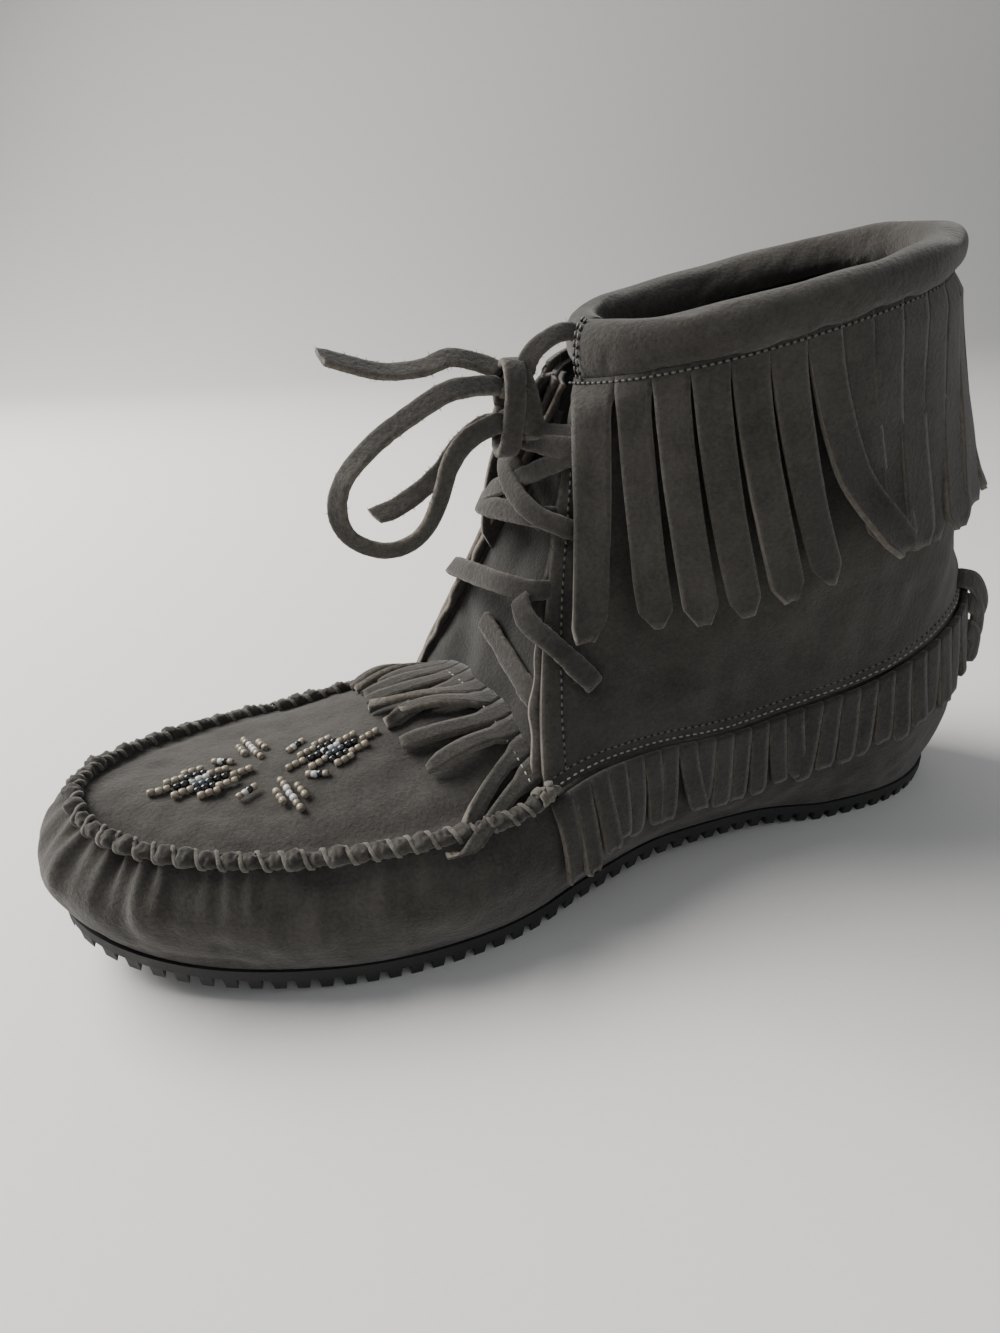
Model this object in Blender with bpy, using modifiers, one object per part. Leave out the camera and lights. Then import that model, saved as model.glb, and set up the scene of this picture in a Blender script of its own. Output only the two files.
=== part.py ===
"""Fringed suede ankle moccasin, right foot, standing empty on its rubber sole.

Metres, +Z up. The toe points to -X and the inner side of the foot to -Y.
The origin is the middle of the heel's flat tread spot, on the floor.
"""

import math

import bmesh
import bpy
import numpy as np
from mathutils import Matrix, Vector

# Driving sizes of the last and the boot
LENGTH = 0.273
HEEL_BACK_X = 0.041
BALL_WIDTH = 0.100
TOE_SWING = 0.010
TOE_SPRING = 0.0135
TOE_SPRING_SHARE = 0.34
ARCH_RISE = 0.0028
ARCH_SHARE = 0.62
ARCH_REACH_SHARE = 0.17
SWING_SHARE = 0.6
SWING_POWER = 1.3

# Sole
LUG_DEPTH = 0.003
SOLE_PLATE = 0.0032
SOLE_INSET = 0.0030
LUG_SIDE_STEP = 0.0008
TREAD_SPOT_GAP = 0.130
LUG_COUNT_BETWEEN_SPOTS = 24
LUG_FLAT_SHARE = 0.50
LUG_SLOPE_SHARE = 0.10
LUG_ROOT_STEP = 0.0002
PLATE_EDGE_STEP = 0.0004
SOLE_END_STEP = 0.0004

# Upper
WALL = 0.002
CLEARANCE = 0.0003
FEATHER_INSET = 0.0040
PLUG_SIDE_INSET = 0.0085
PLUG_APEX_INSET = 0.0120
THROAT_SHARE_INNER = 0.455
THROAT_SHARE_OUTER = 0.375
THROAT_SHARE = (THROAT_SHARE_INNER + THROAT_SHARE_OUTER) / 2
THROAT_HEIGHT = 0.042
PLUG_CROWN = 0.018
CROWN_AT_TOE = 0.22
BULGE_SHARE = 0.45

# Collar and shaft
COLLAR_BACK_X = 0.0045
COLLAR_LENGTH = 0.0965
COLLAR_WIDTH = 0.073
COLLAR_HEIGHT_FRONT = 0.130
COLLAR_HEIGHT_BACK = 0.1535
COLLAR_GAP_ANGLE = math.radians(10)
COLLAR_SQUARENESS = 2.3
HEEL_DIP = 0.003
HEEL_DIP_REACH = 0.13
THROAT_PULL_IN = 0.004
THROAT_PULL_BACK = -0.002
THROAT_PULL_REACH = 0.30
THROAT_PULL_AT_FOOT = 1.25
THROAT_PULL_LOST = 0.5
BRIDGE_PULL_LOW = 0.38
BRIDGE_PULL_RISE = 0.16
ROLL_HEIGHT = 0.0145
ROLL_WIDTH = 0.010
ROLL_TAPER = 0.26
ROLL_SET_IN = 0.0012
ROLL_SET_IN_BACK = 0.0045
ROLL_END_SHARE = 0.004
ROLL_END_WIDTH = 0.93
ROLL_SQUARENESS = 0.8
ROLL_SET_IN_POWER = 6

# Small leather pieces
INSOLE_THICKNESS = 0.003
INSOLE_TOE_TURN = 0.16
INSOLE_HEEL_TURN = 0.10
TONGUE_THICKNESS = 0.0022
TONGUE_TUCK = 0.013
TONGUE_UNDER_PLUG = 0.022
TONGUE_TOP = 0.90
TONGUE_DROP = 0.0034
TONGUE_PLAY = 0.0008
TONGUE_WIDTH_SHARE = 0.80
TONGUE_MIDDLE_SHARE = 0.93
TONGUE_RISES = (0.12, 0.24, 0.36, 0.50, 0.64, 0.77, TONGUE_TOP)
TONGUE_TUCK_LOW = 0.55
TONGUE_TUCK_GROWS = 0.45
TONGUE_DROP_RISE = 0.3
SEAM_WIDTH = 0.0046
SEAM_HEIGHT = 0.0034
SEAM_PITCH = 0.0052
SEAM_REACH_SHARE = 0.985
SEAM_LEAN = 0.45
SEAM_NOTCH = 0.80
SEAM_ROOM = 2.2 * CLEARANCE
SUEDE_STRIP = 0.0016
TIP_WIDTH_SHARE = 0.16
FRINGE_ROOM = 0.0025
FRINGE_BELOW_RIM = 0.0006
FRINGE_ROOM_GROWS_BY = 0.12
CUFF_FLARE = 0.0022
CUFF_STRAND_WIDTH = 0.0086
CUFF_STRAND_LENGTH = 0.058
CUFF_END_SHORTER = 0.004
CUFF_LEAN = 0.0030
CUFF_LIFT = 0.0035
SIDE_STRAND_WIDTH = 0.0059
SIDE_STRAND_LENGTH = 0.021
SIDE_ROOT_RISE = 0.985
SIDE_FLARE = 0.0006
SIDE_LIFT = 0.0018
SIDE_LEAN_TURN = 0.012
VAMP_STRAND_WIDTH = 0.0062
VAMP_STRAND_LENGTH = 0.0135
VAMP_WIDTH_SHARE = 0.90
VAMP_CROWN_LENGTH = 1.05
VAMP_LIFT = (0.0005, 0.0030)
VAMP_LENGTH_SHARES = (0.85, 1.15)
VAMP_LEAN_BACK = 0.15
BEAD_PLATE = 0.0018
BEAD_PLAY = 0.0002

# Lace
LACE_WIDTH = 0.005
LACE_THICKNESS = 0.0018
LACE_HOLE_RADIUS = 0.0016
LACE_REST = 0.0024
LACE_LIFT = 0.0022
TOP_BAR_LIFT = 0.0026
LOWER_STRIP_LIFT = 0.5 * LACE_LIFT
LACE_STACK = 0.0003
LACE_ROOM_REACH = 0.018
LACE_BOW_RADIUS = 0.0019

# Mesh density
FRONT_STEPS = 12
REAR_STEPS = 16
ROLL_STEPS = 32
WALL_ROWS = 6
PLUG_COLUMNS = 8
SHAFT_ROWS = (0.0, 0.12, 0.28, 0.46, 0.64, 0.82, 1.0)

# How each fringe is cut. Rows down a strand, then shares: of the depth left
# uncut, of a strand's width lost to the slit, and of the depth in the tip
CUFF_COMB = (3, 0.07, 0.08, 0.08)
SIDE_COMB = (1, 0.16, 0.16, 0.14)
VAMP_COMB = (2, 0.20, 0.18, 0.12)

# Half widths of the plan outline, as shares of half the ball width over an
# ellipse of the same length. Columns: share of length from the toe, inner, outer
OUTLINE = (
    (0.00, 1.21, 1.24),
    (0.05, 1.20, 1.23),
    (0.10, 1.18, 1.19),
    (0.20, 1.12, 1.11),
    (0.30, 1.07, 1.08),
    (0.40, 0.98, 1.04),
    (0.50, 0.79, 0.96),
    (0.60, 0.66, 0.87),
    (0.70, 0.64, 0.83),
    (0.80, 0.75, 0.89),
    (0.90, 0.91, 0.99),
    (1.00, 1.04, 1.08),
)

# The seam round the plug, then the side seam round the heel. Columns: share of
# length, inset as a share of the plug's side inset, height as a share of the
# throat height
TOP_LINE = (
    (0.00, PLUG_APEX_INSET / PLUG_SIDE_INSET, 1.04),
    (0.04, 1.25, 0.98),
    (0.12, 1.10, 0.91),
    (0.25, 0.95, 0.85),
    (THROAT_SHARE, 0.72, 0.86),
    (0.52, 0.42, 0.99),
    (0.65, 0.18, 0.97),
    (0.80, 0.26, 1.12),
    (0.92, 0.38, 1.38),
    (1.00, 0.42, 1.58),
)

# Lace holes in each quarter. Columns: rise up the shaft, setback from the edge
LACE_HOLES = (
    (0.22, 0.015),
    (0.43, 0.009),
    (0.64, 0.007),
    (0.85, 0.006),
)


def interpolated(table, column, share):
    """Smooth monotone curve through one column of a table, over its first column."""
    rows = np.array(table, float)
    x = rows[:, 0]
    y = rows[:, column]
    step = np.diff(x)
    slope = np.diff(y) / step
    tangent = np.zeros_like(y)
    same_way = slope[:-1] * slope[1:] > 0
    mean = 2 * slope[:-1] * slope[1:] / np.where(same_way, slope[:-1] + slope[1:], 1.0)
    tangent[1:-1] = np.where(same_way, mean, 0.0)
    tangent[0] = slope[0]
    tangent[-1] = slope[-1]
    share = np.clip(share, x[0], x[-1])
    i = np.clip(np.searchsorted(x, share, side="right") - 1, 0, len(step) - 1)
    t = (share - x[i]) / step[i]
    return (
        y[i] * (1 + 2 * t) * (1 - t) ** 2
        + tangent[i] * step[i] * t * (1 - t) ** 2
        + y[i + 1] * t**2 * (3 - 2 * t)
        + tangent[i + 1] * step[i] * t**2 * (t - 1)
    )


def length_share(turn):
    """Share of the length from the toe at an angle round the boot: 0 toe, pi heel."""
    return (1 - np.cos(turn)) / 2


def x_at(share):
    return HEEL_BACK_X - LENGTH * (1 - share)


def plan(turn, inset=0.0):
    """Plan outline at an angle round the boot, moved inwards by the inset.

    The half width is the sine of the angle times half the ball width times the
    outline's share. Angles from 0 to pi run along the inner side, and from pi
    to two pi back along the outer side.
    """
    turn = np.asarray(turn, float)

    def raw(angle):
        share = length_share(angle)
        inner = np.sin(angle) >= 0
        fullness = np.where(
            inner, interpolated(OUTLINE, 1, share), interpolated(OUTLINE, 2, share)
        )
        centre = -TOE_SWING * np.clip(1 - share / SWING_SHARE, 0, 1) ** SWING_POWER
        y = centre - 0.5 * BALL_WIDTH * np.sin(angle) * fullness
        return np.stack([x_at(share), y], -1)

    point = raw(turn)
    nudge = 0.02
    along = raw(turn + nudge) - raw(turn - nudge)
    along /= np.linalg.norm(along, axis=-1, keepdims=True)
    outward = np.stack([along[..., 1], -along[..., 0]], -1)
    return point - outward * np.asarray(inset)[..., None], outward


def floor_rise(share):
    """Height of the tread above the floor: toe spring and a slight arch."""
    spring = TOE_SPRING * np.clip(1 - share / TOE_SPRING_SHARE, 0, 1) ** 2
    from_arch = (share - ARCH_SHARE) / ARCH_REACH_SHARE
    arch = ARCH_RISE * np.clip(1 - from_arch**2, 0, 1)
    return spring + arch


def sole_top(share):
    return floor_rise(share) + LUG_DEPTH + SOLE_PLATE


def top_inset(share):
    return PLUG_SIDE_INSET * interpolated(TOP_LINE, 1, share)


def top_height(share):
    return THROAT_HEIGHT * interpolated(TOP_LINE, 2, share)


def wall_point(turn, rise, offset=0.0):
    """Lower wall: from the sole (rise 0) over the bulge up to the seam (rise 1).

    The inset from the plan outline falls to nothing at the bulge and grows
    again as a square above it, which rounds the shoulder.
    """
    turn = np.asarray(turn, float)
    rise = np.asarray(rise, float)
    share = length_share(turn)
    below = np.clip(1 - rise / BULGE_SHARE, 0, 1)
    above = np.clip((rise - BULGE_SHARE) / (1 - BULGE_SHARE), 0, 1)
    inset = FEATHER_INSET * below**2 + top_inset(share) * above**2
    low = sole_top(share) + CLEARANCE
    spot, _ = plan(turn, inset - offset)
    height = low + (top_height(share) - low) * rise
    return np.concatenate([spot, height[..., None]], -1)


def plug_point(share_of_throat, across):
    """Plug surface: across -1 is the inner seam and +1 the outer, crowned between."""
    share = np.asarray(share_of_throat, float)
    across = np.asarray(across, float)
    inner = wall_point(throat_turn(-1) * share, np.ones_like(share))
    outer = wall_point(-throat_turn(1) * share, np.ones_like(share))
    mix = ((across + 1) / 2)[..., None]
    point = inner * (1 - mix) + outer * mix
    width = np.linalg.norm(outer - inner, axis=-1)
    crown = PLUG_CROWN * (width / BALL_WIDTH) * (CROWN_AT_TOE + (1 - CROWN_AT_TOE) * share**3)
    point[..., 2] += crown * (1 - across**2)
    return point


def throat_turn(side):
    """Angle from the toe to the throat's corner: side -1 inner, +1 outer."""
    return math.acos(1 - 2 * (THROAT_SHARE_INNER if side < 0 else THROAT_SHARE_OUTER))


def collar_point(turn_share, outward_by=0.0):
    """Collar line: share 0 is the inner front end, 0.5 the back, 1 the outer end."""
    share = np.asarray(turn_share, float)
    angle = (math.pi - COLLAR_GAP_ANGLE) * (2 * share - 1)
    power = 2 / COLLAR_SQUARENESS
    half_length = COLLAR_LENGTH / 2
    half_width = COLLAR_WIDTH / 2
    cos = np.cos(angle)
    sin = np.sin(angle)
    along = np.sign(cos) * np.abs(cos) ** power
    across = np.sign(sin) * np.abs(sin) ** power
    x = COLLAR_BACK_X - half_length + half_length * along
    y = half_width * across
    outward = np.stack([cos / half_length, sin / half_width], -1)
    outward /= np.linalg.norm(outward, axis=-1, keepdims=True)
    back = (along + 1) / 2
    z = COLLAR_HEIGHT_FRONT + (COLLAR_HEIGHT_BACK - COLLAR_HEIGHT_FRONT) * back
    spot = np.stack([x, y], -1) + outward * np.asarray(outward_by)[..., None]
    return np.concatenate([spot, z[..., None]], -1), outward


def shaft_point(turn_share, rise):
    """Shaft from the side seam (rise 0) to the collar line (rise 1).

    A straight blend of the two lines, drawn in at the heel cord, and towards
    the middle of the throat beside its edges.
    """
    share = np.asarray(turn_share, float)
    rise = np.asarray(rise, float)
    start = throat_turn(-1)
    turn = start + (2 * math.pi - throat_turn(1) - start) * share
    low = wall_point(turn, np.ones_like(share))
    high, _ = collar_point(share)
    point = low + (high - low) * rise[..., None]
    hump = 4 * rise * (1 - rise)
    at_back = np.exp(-(((share - 0.5) / HEEL_DIP_REACH) ** 2))
    point[..., 0] -= HEEL_DIP * hump * at_back
    near_edge = np.clip(1 - share / THROAT_PULL_REACH, 0, 1) ** 2
    far_edge = np.clip(1 - (1 - share) / THROAT_PULL_REACH, 0, 1) ** 2
    early = hump * (THROAT_PULL_AT_FOOT - THROAT_PULL_LOST * rise)
    point[..., 1] += THROAT_PULL_IN * early * (near_edge - far_edge)
    point[..., 0] += THROAT_PULL_BACK * early * (near_edge + far_edge)
    return point


def throat_line(rise, count=64):
    """Closed level line of the shaft at one rise, with the throat gap bridged.

    Returns the points and their signed distance from the middle of the gap,
    negative towards the inner side, with outward normals in plan.
    """
    ring = shaft_point(np.linspace(0, 1, count), np.full(count, rise))
    start = ring[0]
    end = ring[-1]
    span = np.linalg.norm(end - start)
    start_way = ring[0] - ring[1]
    start_way /= np.linalg.norm(start_way)
    end_way = ring[-2] - ring[-1]
    end_way /= np.linalg.norm(end_way)
    t = np.linspace(0, 1, 13)[:, None]
    pull = (BRIDGE_PULL_LOW + BRIDGE_PULL_RISE * rise) * span
    bridge = (
        start * (1 + 2 * t) * (1 - t) ** 2
        + start_way * pull * t * (1 - t) ** 2
        + end * t**2 * (3 - 2 * t)
        + end_way * pull * t**2 * (t - 1)
    )
    inner = ring[1 : count // 3][::-1]
    outer = ring[-2 : -count // 3 : -1]
    line = np.concatenate([inner, bridge, outer])
    steps = np.linalg.norm(np.diff(line, axis=0), axis=1)
    distance = np.concatenate([[0], np.cumsum(steps)])
    middle = distance[len(inner) + 6]
    edge = distance[len(inner) + 12] - middle
    along = np.gradient(line[:, :2], axis=0)
    along /= np.linalg.norm(along, axis=1, keepdims=True)
    normal = np.stack([-along[:, 1], along[:, 0]], -1)
    if normal[len(inner) + 6, 0] > 0:
        normal = -normal
    return line, distance - middle, normal, edge


def throat_point(rise, distance, offset):
    """Point over the throat or the quarters beside it, moved outwards by offset.

    The outward way is square to the level line and to the line up the boot.
    """
    spots = []
    for level in (rise, rise + 0.03):
        line, along, normal, _ = throat_line(level)
        spots.append(np.array([np.interp(distance, along, line[:, k]) for k in range(3)]))
        if level == rise:
            way = np.array([np.interp(distance, along, normal[:, k]) for k in range(2)])
    way = np.array([way[0], way[1], 0.0]) / np.linalg.norm(way)
    up = spots[1] - spots[0]
    up /= np.linalg.norm(up)
    way -= up * (way @ up)
    way /= np.linalg.norm(way)
    return spots[0] + way * offset, way


def material(name, colour, roughness, metallic=0.0):
    made = bpy.data.materials.new(name)
    made.use_nodes = True
    shader = made.node_tree.nodes["Principled BSDF"]
    shader.inputs["Base Color"].default_value = (*colour, 1)
    shader.inputs["Roughness"].default_value = roughness
    shader.inputs["Metallic"].default_value = metallic
    made.diffuse_color = (*colour, 1)
    return made


def add_object(name, vertices, faces, collection, finish):
    mesh = bpy.data.meshes.new(name)
    mesh.from_pydata([tuple(map(float, v)) for v in vertices], [], faces)
    mesh.validate()
    made = bpy.data.objects.new(name, mesh)
    collection.objects.link(made)
    if finish:
        made.data.materials.append(finish)
    return made


def smooth(made, angle=40):
    made.data.shade_smooth()
    made.data.set_sharp_from_angle(angle=math.radians(angle))


def thicken(made, thickness):
    wall = made.modifiers.new("wall", "SOLIDIFY")
    wall.thickness = thickness
    wall.offset = -1
    wall.use_rim = True


def grid_faces(rows, columns, wrap=False):
    faces = []
    for r in range(rows - 1):
        for c in range(columns if wrap else columns - 1):
            d = (c + 1) % columns
            here = r * columns
            above = here + columns
            faces.append((here + c, here + d, above + d, above + c))
    return faces


def sheet(name, points, thickness, collection, finish, wrap=False, flip=False):
    """Leather cut from a grid of points; the wall grows away from the grid's normals."""
    points = np.asarray(points)
    rows, columns = points.shape[:2]
    faces = grid_faces(rows, columns, wrap)
    if flip:
        faces = [face[::-1] for face in faces]
    made = add_object(name, points.reshape(-1, 3), faces, collection, finish)
    thicken(made, thickness)
    smooth(made)
    return made


def loft(name, rings, collection, finish):
    """Closed solid through rings of equal count, capped at both ends."""
    rings = np.asarray(rings)
    count, around = rings.shape[:2]
    faces = grid_faces(count, around, wrap=True)
    faces.append(tuple(range(around))[::-1])
    faces.append(tuple((count - 1) * around + k for k in range(around)))
    made = add_object(name, rings.reshape(-1, 3), faces, collection, finish)
    shape = bmesh.new()
    shape.from_mesh(made.data)
    bmesh.ops.recalc_face_normals(shape, faces=shape.faces)
    shape.to_mesh(made.data)
    shape.free()
    return made


def make_outsole(collection, finish):
    """Rubber sole lofted from toe to heel, with a cross lug at every pitch."""
    turn = np.linspace(0, math.pi, 241)
    inner, _ = plan(turn, SOLE_INSET)
    outer, _ = plan(2 * math.pi - turn, SOLE_INSET)
    pitch = TREAD_SPOT_GAP / LUG_COUNT_BETWEEN_SPOTS
    toe = max(inner[0, 0], outer[0, 0])
    heel = min(inner[-1, 0], outer[-1, 0])
    flat = 0.5 * LUG_FLAT_SHARE * pitch
    foot = flat + LUG_SLOPE_SHARE * pitch
    stations = []
    for k in range(math.floor(toe / pitch), math.ceil(heel / pitch) + 1):
        for shift, down in ((-foot, 0), (-flat, 1), (flat, 1), (foot, 0)):
            x = k * pitch + shift
            if toe + 2 * SOLE_END_STEP < x < heel - 2 * SOLE_END_STEP:
                stations.append((x, down))
    stations = [(toe + SOLE_END_STEP, 0)] + stations + [(heel - SOLE_END_STEP, 0)]
    rings = []
    for x, down in stations:
        share = 1 - (HEEL_BACK_X - x) / LENGTH
        near = float(np.interp(x, inner[:, 0], inner[:, 1]))
        far = float(np.interp(x, outer[:, 0], outer[:, 1]))
        step = min(LUG_SIDE_STEP, 0.2 * (far - near))
        rise = float(floor_rise(share))
        plate = rise + LUG_DEPTH
        bottom = rise if down else plate - LUG_ROOT_STEP
        top = plate + SOLE_PLATE
        rings.append(
            (
                (x, near + step, bottom),
                (x, near, plate + PLATE_EDGE_STEP),
                (x, near, top),
                (x, far, top),
                (x, far, plate + PLATE_EDGE_STEP),
                (x, far - step, bottom),
            )
        )
    return loft("outsole", rings, collection, finish)


def make_insole(collection, finish):
    """Thin sock lining lying on the sole inside the upper."""
    inset = FEATHER_INSET + WALL + 2 * CLEARANCE
    turn = np.linspace(INSOLE_TOE_TURN, math.pi - INSOLE_HEEL_TURN, 26)
    inner, _ = plan(turn, inset)
    outer, _ = plan(2 * math.pi - turn, inset)
    rings = []
    for near, far in zip(inner, outer):
        x = 0.5 * (near[0] + far[0])
        low = float(sole_top(1 - (HEEL_BACK_X - x) / LENGTH)) + CLEARANCE
        high = low + INSOLE_THICKNESS
        corners = ((near[1], low), (near[1], high), (far[1], high), (far[1], low))
        rings.append(tuple((x, y, z) for y, z in corners))
    return loft("insole", rings, collection, finish)


def upper_mesh():
    """Open surface of the whole upper: lower wall, plug and shaft share their edges."""
    inner = np.linspace(0, throat_turn(-1), FRONT_STEPS + 1)
    outer = np.linspace(2 * math.pi - throat_turn(1), 2 * math.pi, FRONT_STEPS + 1)
    rear = np.linspace(inner[-1], outer[0], 2 * REAR_STEPS + 1)
    turns = np.concatenate([inner, rear[1:-1], outer[:-1]])
    columns = len(turns)
    rises = np.linspace(0, 1, WALL_ROWS)
    vertices = [wall_point(turns, np.full(columns, rise)) for rise in rises]
    vertices = list(np.concatenate(vertices))
    faces = grid_faces(WALL_ROWS, columns, wrap=True)
    top = (WALL_ROWS - 1) * columns
    # Plug: rows across from each inner seam point to the outer one opposite
    rows = [[top] * (PLUG_COLUMNS + 1)]
    for k in range(1, FRONT_STEPS + 1):
        row = [top + k]
        for c in range(1, PLUG_COLUMNS):
            across = -1 + 2 * c / PLUG_COLUMNS
            row.append(len(vertices))
            vertices.append(plug_point(k / FRONT_STEPS, across))
        row.append(top + columns - k)
        rows.append(row)
    for here, after in zip(rows, rows[1:]):
        for c in range(PLUG_COLUMNS):
            face = [here[c], after[c], after[c + 1], here[c + 1]]
            faces.append(tuple(dict.fromkeys(face)))
    # Shaft: from the inner throat corner round the heel to the outer corner
    ring = [top + k for k in range(FRONT_STEPS, columns - FRONT_STEPS + 1)]
    turn_shares = np.linspace(0, 1, len(ring))
    below = ring
    for rise in SHAFT_ROWS[1:]:
        points = shaft_point(turn_shares, np.full(len(turn_shares), rise))
        row = list(range(len(vertices), len(vertices) + len(points)))
        vertices.extend(points)
        for c in range(len(ring) - 1):
            faces.append((below[c], below[c + 1], row[c + 1], row[c]))
        below = row
    return vertices, faces


def hole_cutter(collection):
    """Punches for the lace holes, one through each quarter at each level."""
    punches = bmesh.new()
    for rise, setback in LACE_HOLES:
        _, _, _, edge = throat_line(rise)
        for side in (-1, 1):
            distance = side * (edge + setback)
            outside = Vector(throat_point(rise, distance, 3 * WALL)[0])
            inside = Vector(throat_point(rise, distance, -3 * WALL)[0])
            way = (outside - inside).normalized()
            turned = way.to_track_quat("Z", "Y").to_matrix().to_4x4()
            place = Matrix.Translation((outside + inside) / 2) @ turned
            bmesh.ops.create_cone(
                punches,
                cap_ends=True,
                segments=8,
                radius1=LACE_HOLE_RADIUS,
                radius2=LACE_HOLE_RADIUS,
                depth=(outside - inside).length,
                matrix=place,
            )
    mesh = bpy.data.meshes.new("lace_hole_punches")
    punches.to_mesh(mesh)
    punches.free()
    made = bpy.data.objects.new("lace_hole_punches", mesh)
    made.hide_render = True
    made.display_type = "WIRE"
    collection.objects.link(made)
    return made


def make_upper(collection, cutters, finish):
    """One hollow suede shell, open at the collar, the throat and underneath."""
    vertices, faces = upper_mesh()
    made = add_object("upper", vertices, faces, collection, finish)
    shape = bmesh.new()
    shape.from_mesh(made.data)
    bmesh.ops.recalc_face_normals(shape, faces=shape.faces)
    if sum(face.normal.z * face.calc_area() for face in shape.faces) < 0:
        bmesh.ops.reverse_faces(shape, faces=shape.faces)
    shape.to_mesh(made.data)
    shape.free()
    smooth(made, 60)
    thicken(made, WALL)
    cut = made.modifiers.new("lace holes", "BOOLEAN")
    cut.operation = "DIFFERENCE"
    cut.object = hole_cutter(cutters)
    return made


def make_tongue(collection, finish):
    """Tongue from under the plug up the instep, tucked inside both quarters."""
    columns = np.linspace(-1, 1, 11)
    rows = []
    depth = WALL + CLEARANCE + TONGUE_PLAY
    foot = 1 - TONGUE_UNDER_PLUG / (LENGTH * THROAT_SHARE)
    for share in (foot, TONGUE_MIDDLE_SHARE, 1.0):
        row = plug_point(np.full(len(columns), share), columns * TONGUE_WIDTH_SHARE)
        row[:, 2] -= depth
        rows.append(row)
    for rise in TONGUE_RISES:
        _, _, _, edge = throat_line(rise)
        reach = edge + TONGUE_TUCK * (TONGUE_TUCK_LOW + TONGUE_TUCK_GROWS * rise)
        drop = TONGUE_DROP * min(1.0, rise / TONGUE_DROP_RISE)
        row = [throat_point(rise, c * reach, -depth - drop * (1 - c * c))[0] for c in columns]
        rows.append(row)
    return sheet("tongue", rows, TONGUE_THICKNESS, collection, finish, flip=True)


def make_plug_seam(collection, finish):
    """Whip-stitched ridge round the plug: an oval section that swells at each stitch."""
    low = -throat_turn(1) * SEAM_REACH_SHARE
    high = throat_turn(-1) * SEAM_REACH_SHARE
    fine = np.linspace(low, high, 400)
    path = wall_point(fine, np.ones_like(fine))
    steps = np.linalg.norm(np.diff(path, axis=0), axis=1)
    length = np.concatenate([[0], np.cumsum(steps)])
    count = 2 * round(length[-1] / SEAM_PITCH) + 1
    at = np.interp(np.linspace(0, length[-1], count), length, fine)
    centre = wall_point(at, np.ones_like(at))
    _, outward = plan(at)
    rings = []
    around = np.linspace(0, 2 * math.pi, 6, endpoint=False)
    for k in range(count):
        before = centre[max(k - 1, 0)]
        after = centre[min(k + 1, count - 1)]
        along = (after - before) / np.linalg.norm(after - before)
        up = np.array([*(outward[k] * SEAM_LEAN), 1.0])
        up -= along * (up @ along)
        up /= np.linalg.norm(up)
        side = np.cross(along, up)
        swell = 1.0 if k % 2 else SEAM_NOTCH
        height = SEAM_HEIGHT * swell
        width = SEAM_WIDTH * swell
        middle = centre[k] + up * (height / 2 + SEAM_ROOM)
        ring = [
            middle + side * (width / 2 * math.cos(a)) + up * (height / 2 * math.sin(a))
            for a in around
        ]
        rings.append(ring)
    made = loft("plug_seam", rings, collection, finish)
    smooth(made, 60)
    return made


def comb(name, place, count, cut, collection, finish, flip=False):
    """Fringe cut from one strip: a band at the root, then strands with pointed tips.

    place(u, d, strand) gives a point: u from 0 to 1 along the root, d from 0 at
    the root to 1 at the tip. cut is one of the tables above.
    """
    rows, band, split, tip = cut
    step = (1 - tip - band) / rows
    depths = [0.0, band] + [band + step * (r + 1) for r in range(rows)] + [1.0]
    vertices = []
    faces = []
    ends = None
    for strand in range(count):
        middle = (strand + 0.5) / count
        half = (0.5 - split / 2) / count
        first = len(vertices)
        for depth in depths:
            reach = half * (TIP_WIDTH_SHARE if depth == 1.0 else 1.0)
            vertices.append(place(middle - reach, depth, strand))
            vertices.append(place(middle + reach, depth, strand))
        for r in range(len(depths) - 1):
            a = first + 2 * r
            faces.append((a, a + 1, a + 3, a + 2))
        if ends:
            faces.append((ends[0], first, first + 2, ends[1]))
        ends = (first + 1, first + 3)
    if flip:
        faces = [face[::-1] for face in faces]
    made = add_object(name, vertices, faces, collection, finish)
    thicken(made, SUEDE_STRIP)
    smooth(made)
    return made


def shaft_section(height, count=120):
    """Plan points of the shaft where it passes one height."""
    share = np.linspace(0, 1, count)
    low = shaft_point(share, np.zeros(count))[:, 2]
    high = shaft_point(share, np.ones(count))[:, 2]
    rise = np.clip((height - low) / (high - low), 0, 1)
    return shaft_point(share, rise)[:, :2]


def clear_of(section, point, room):
    """The point itself, or where it lies inside the section or too near, the
    nearest point of the section moved out by the room."""
    start = section[:-1]
    step = section[1:] - start
    at = np.clip(((point - start) * step).sum(1) / (step * step).sum(1), 0, 1)
    foot = start + step * at[:, None]
    gap = np.linalg.norm(foot - point, axis=1)
    k = int(np.argmin(gap))
    outward = np.array([step[k, 1], -step[k, 0]]) / np.linalg.norm(step[k])
    inside = (point - foot[k]) @ outward < 0
    at_end = k in (0, len(step) - 1) and at[k] in (0.0, 1.0)
    if gap[k] >= room and (not inside or at_end):
        return point
    return foot[k] + outward * room


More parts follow.
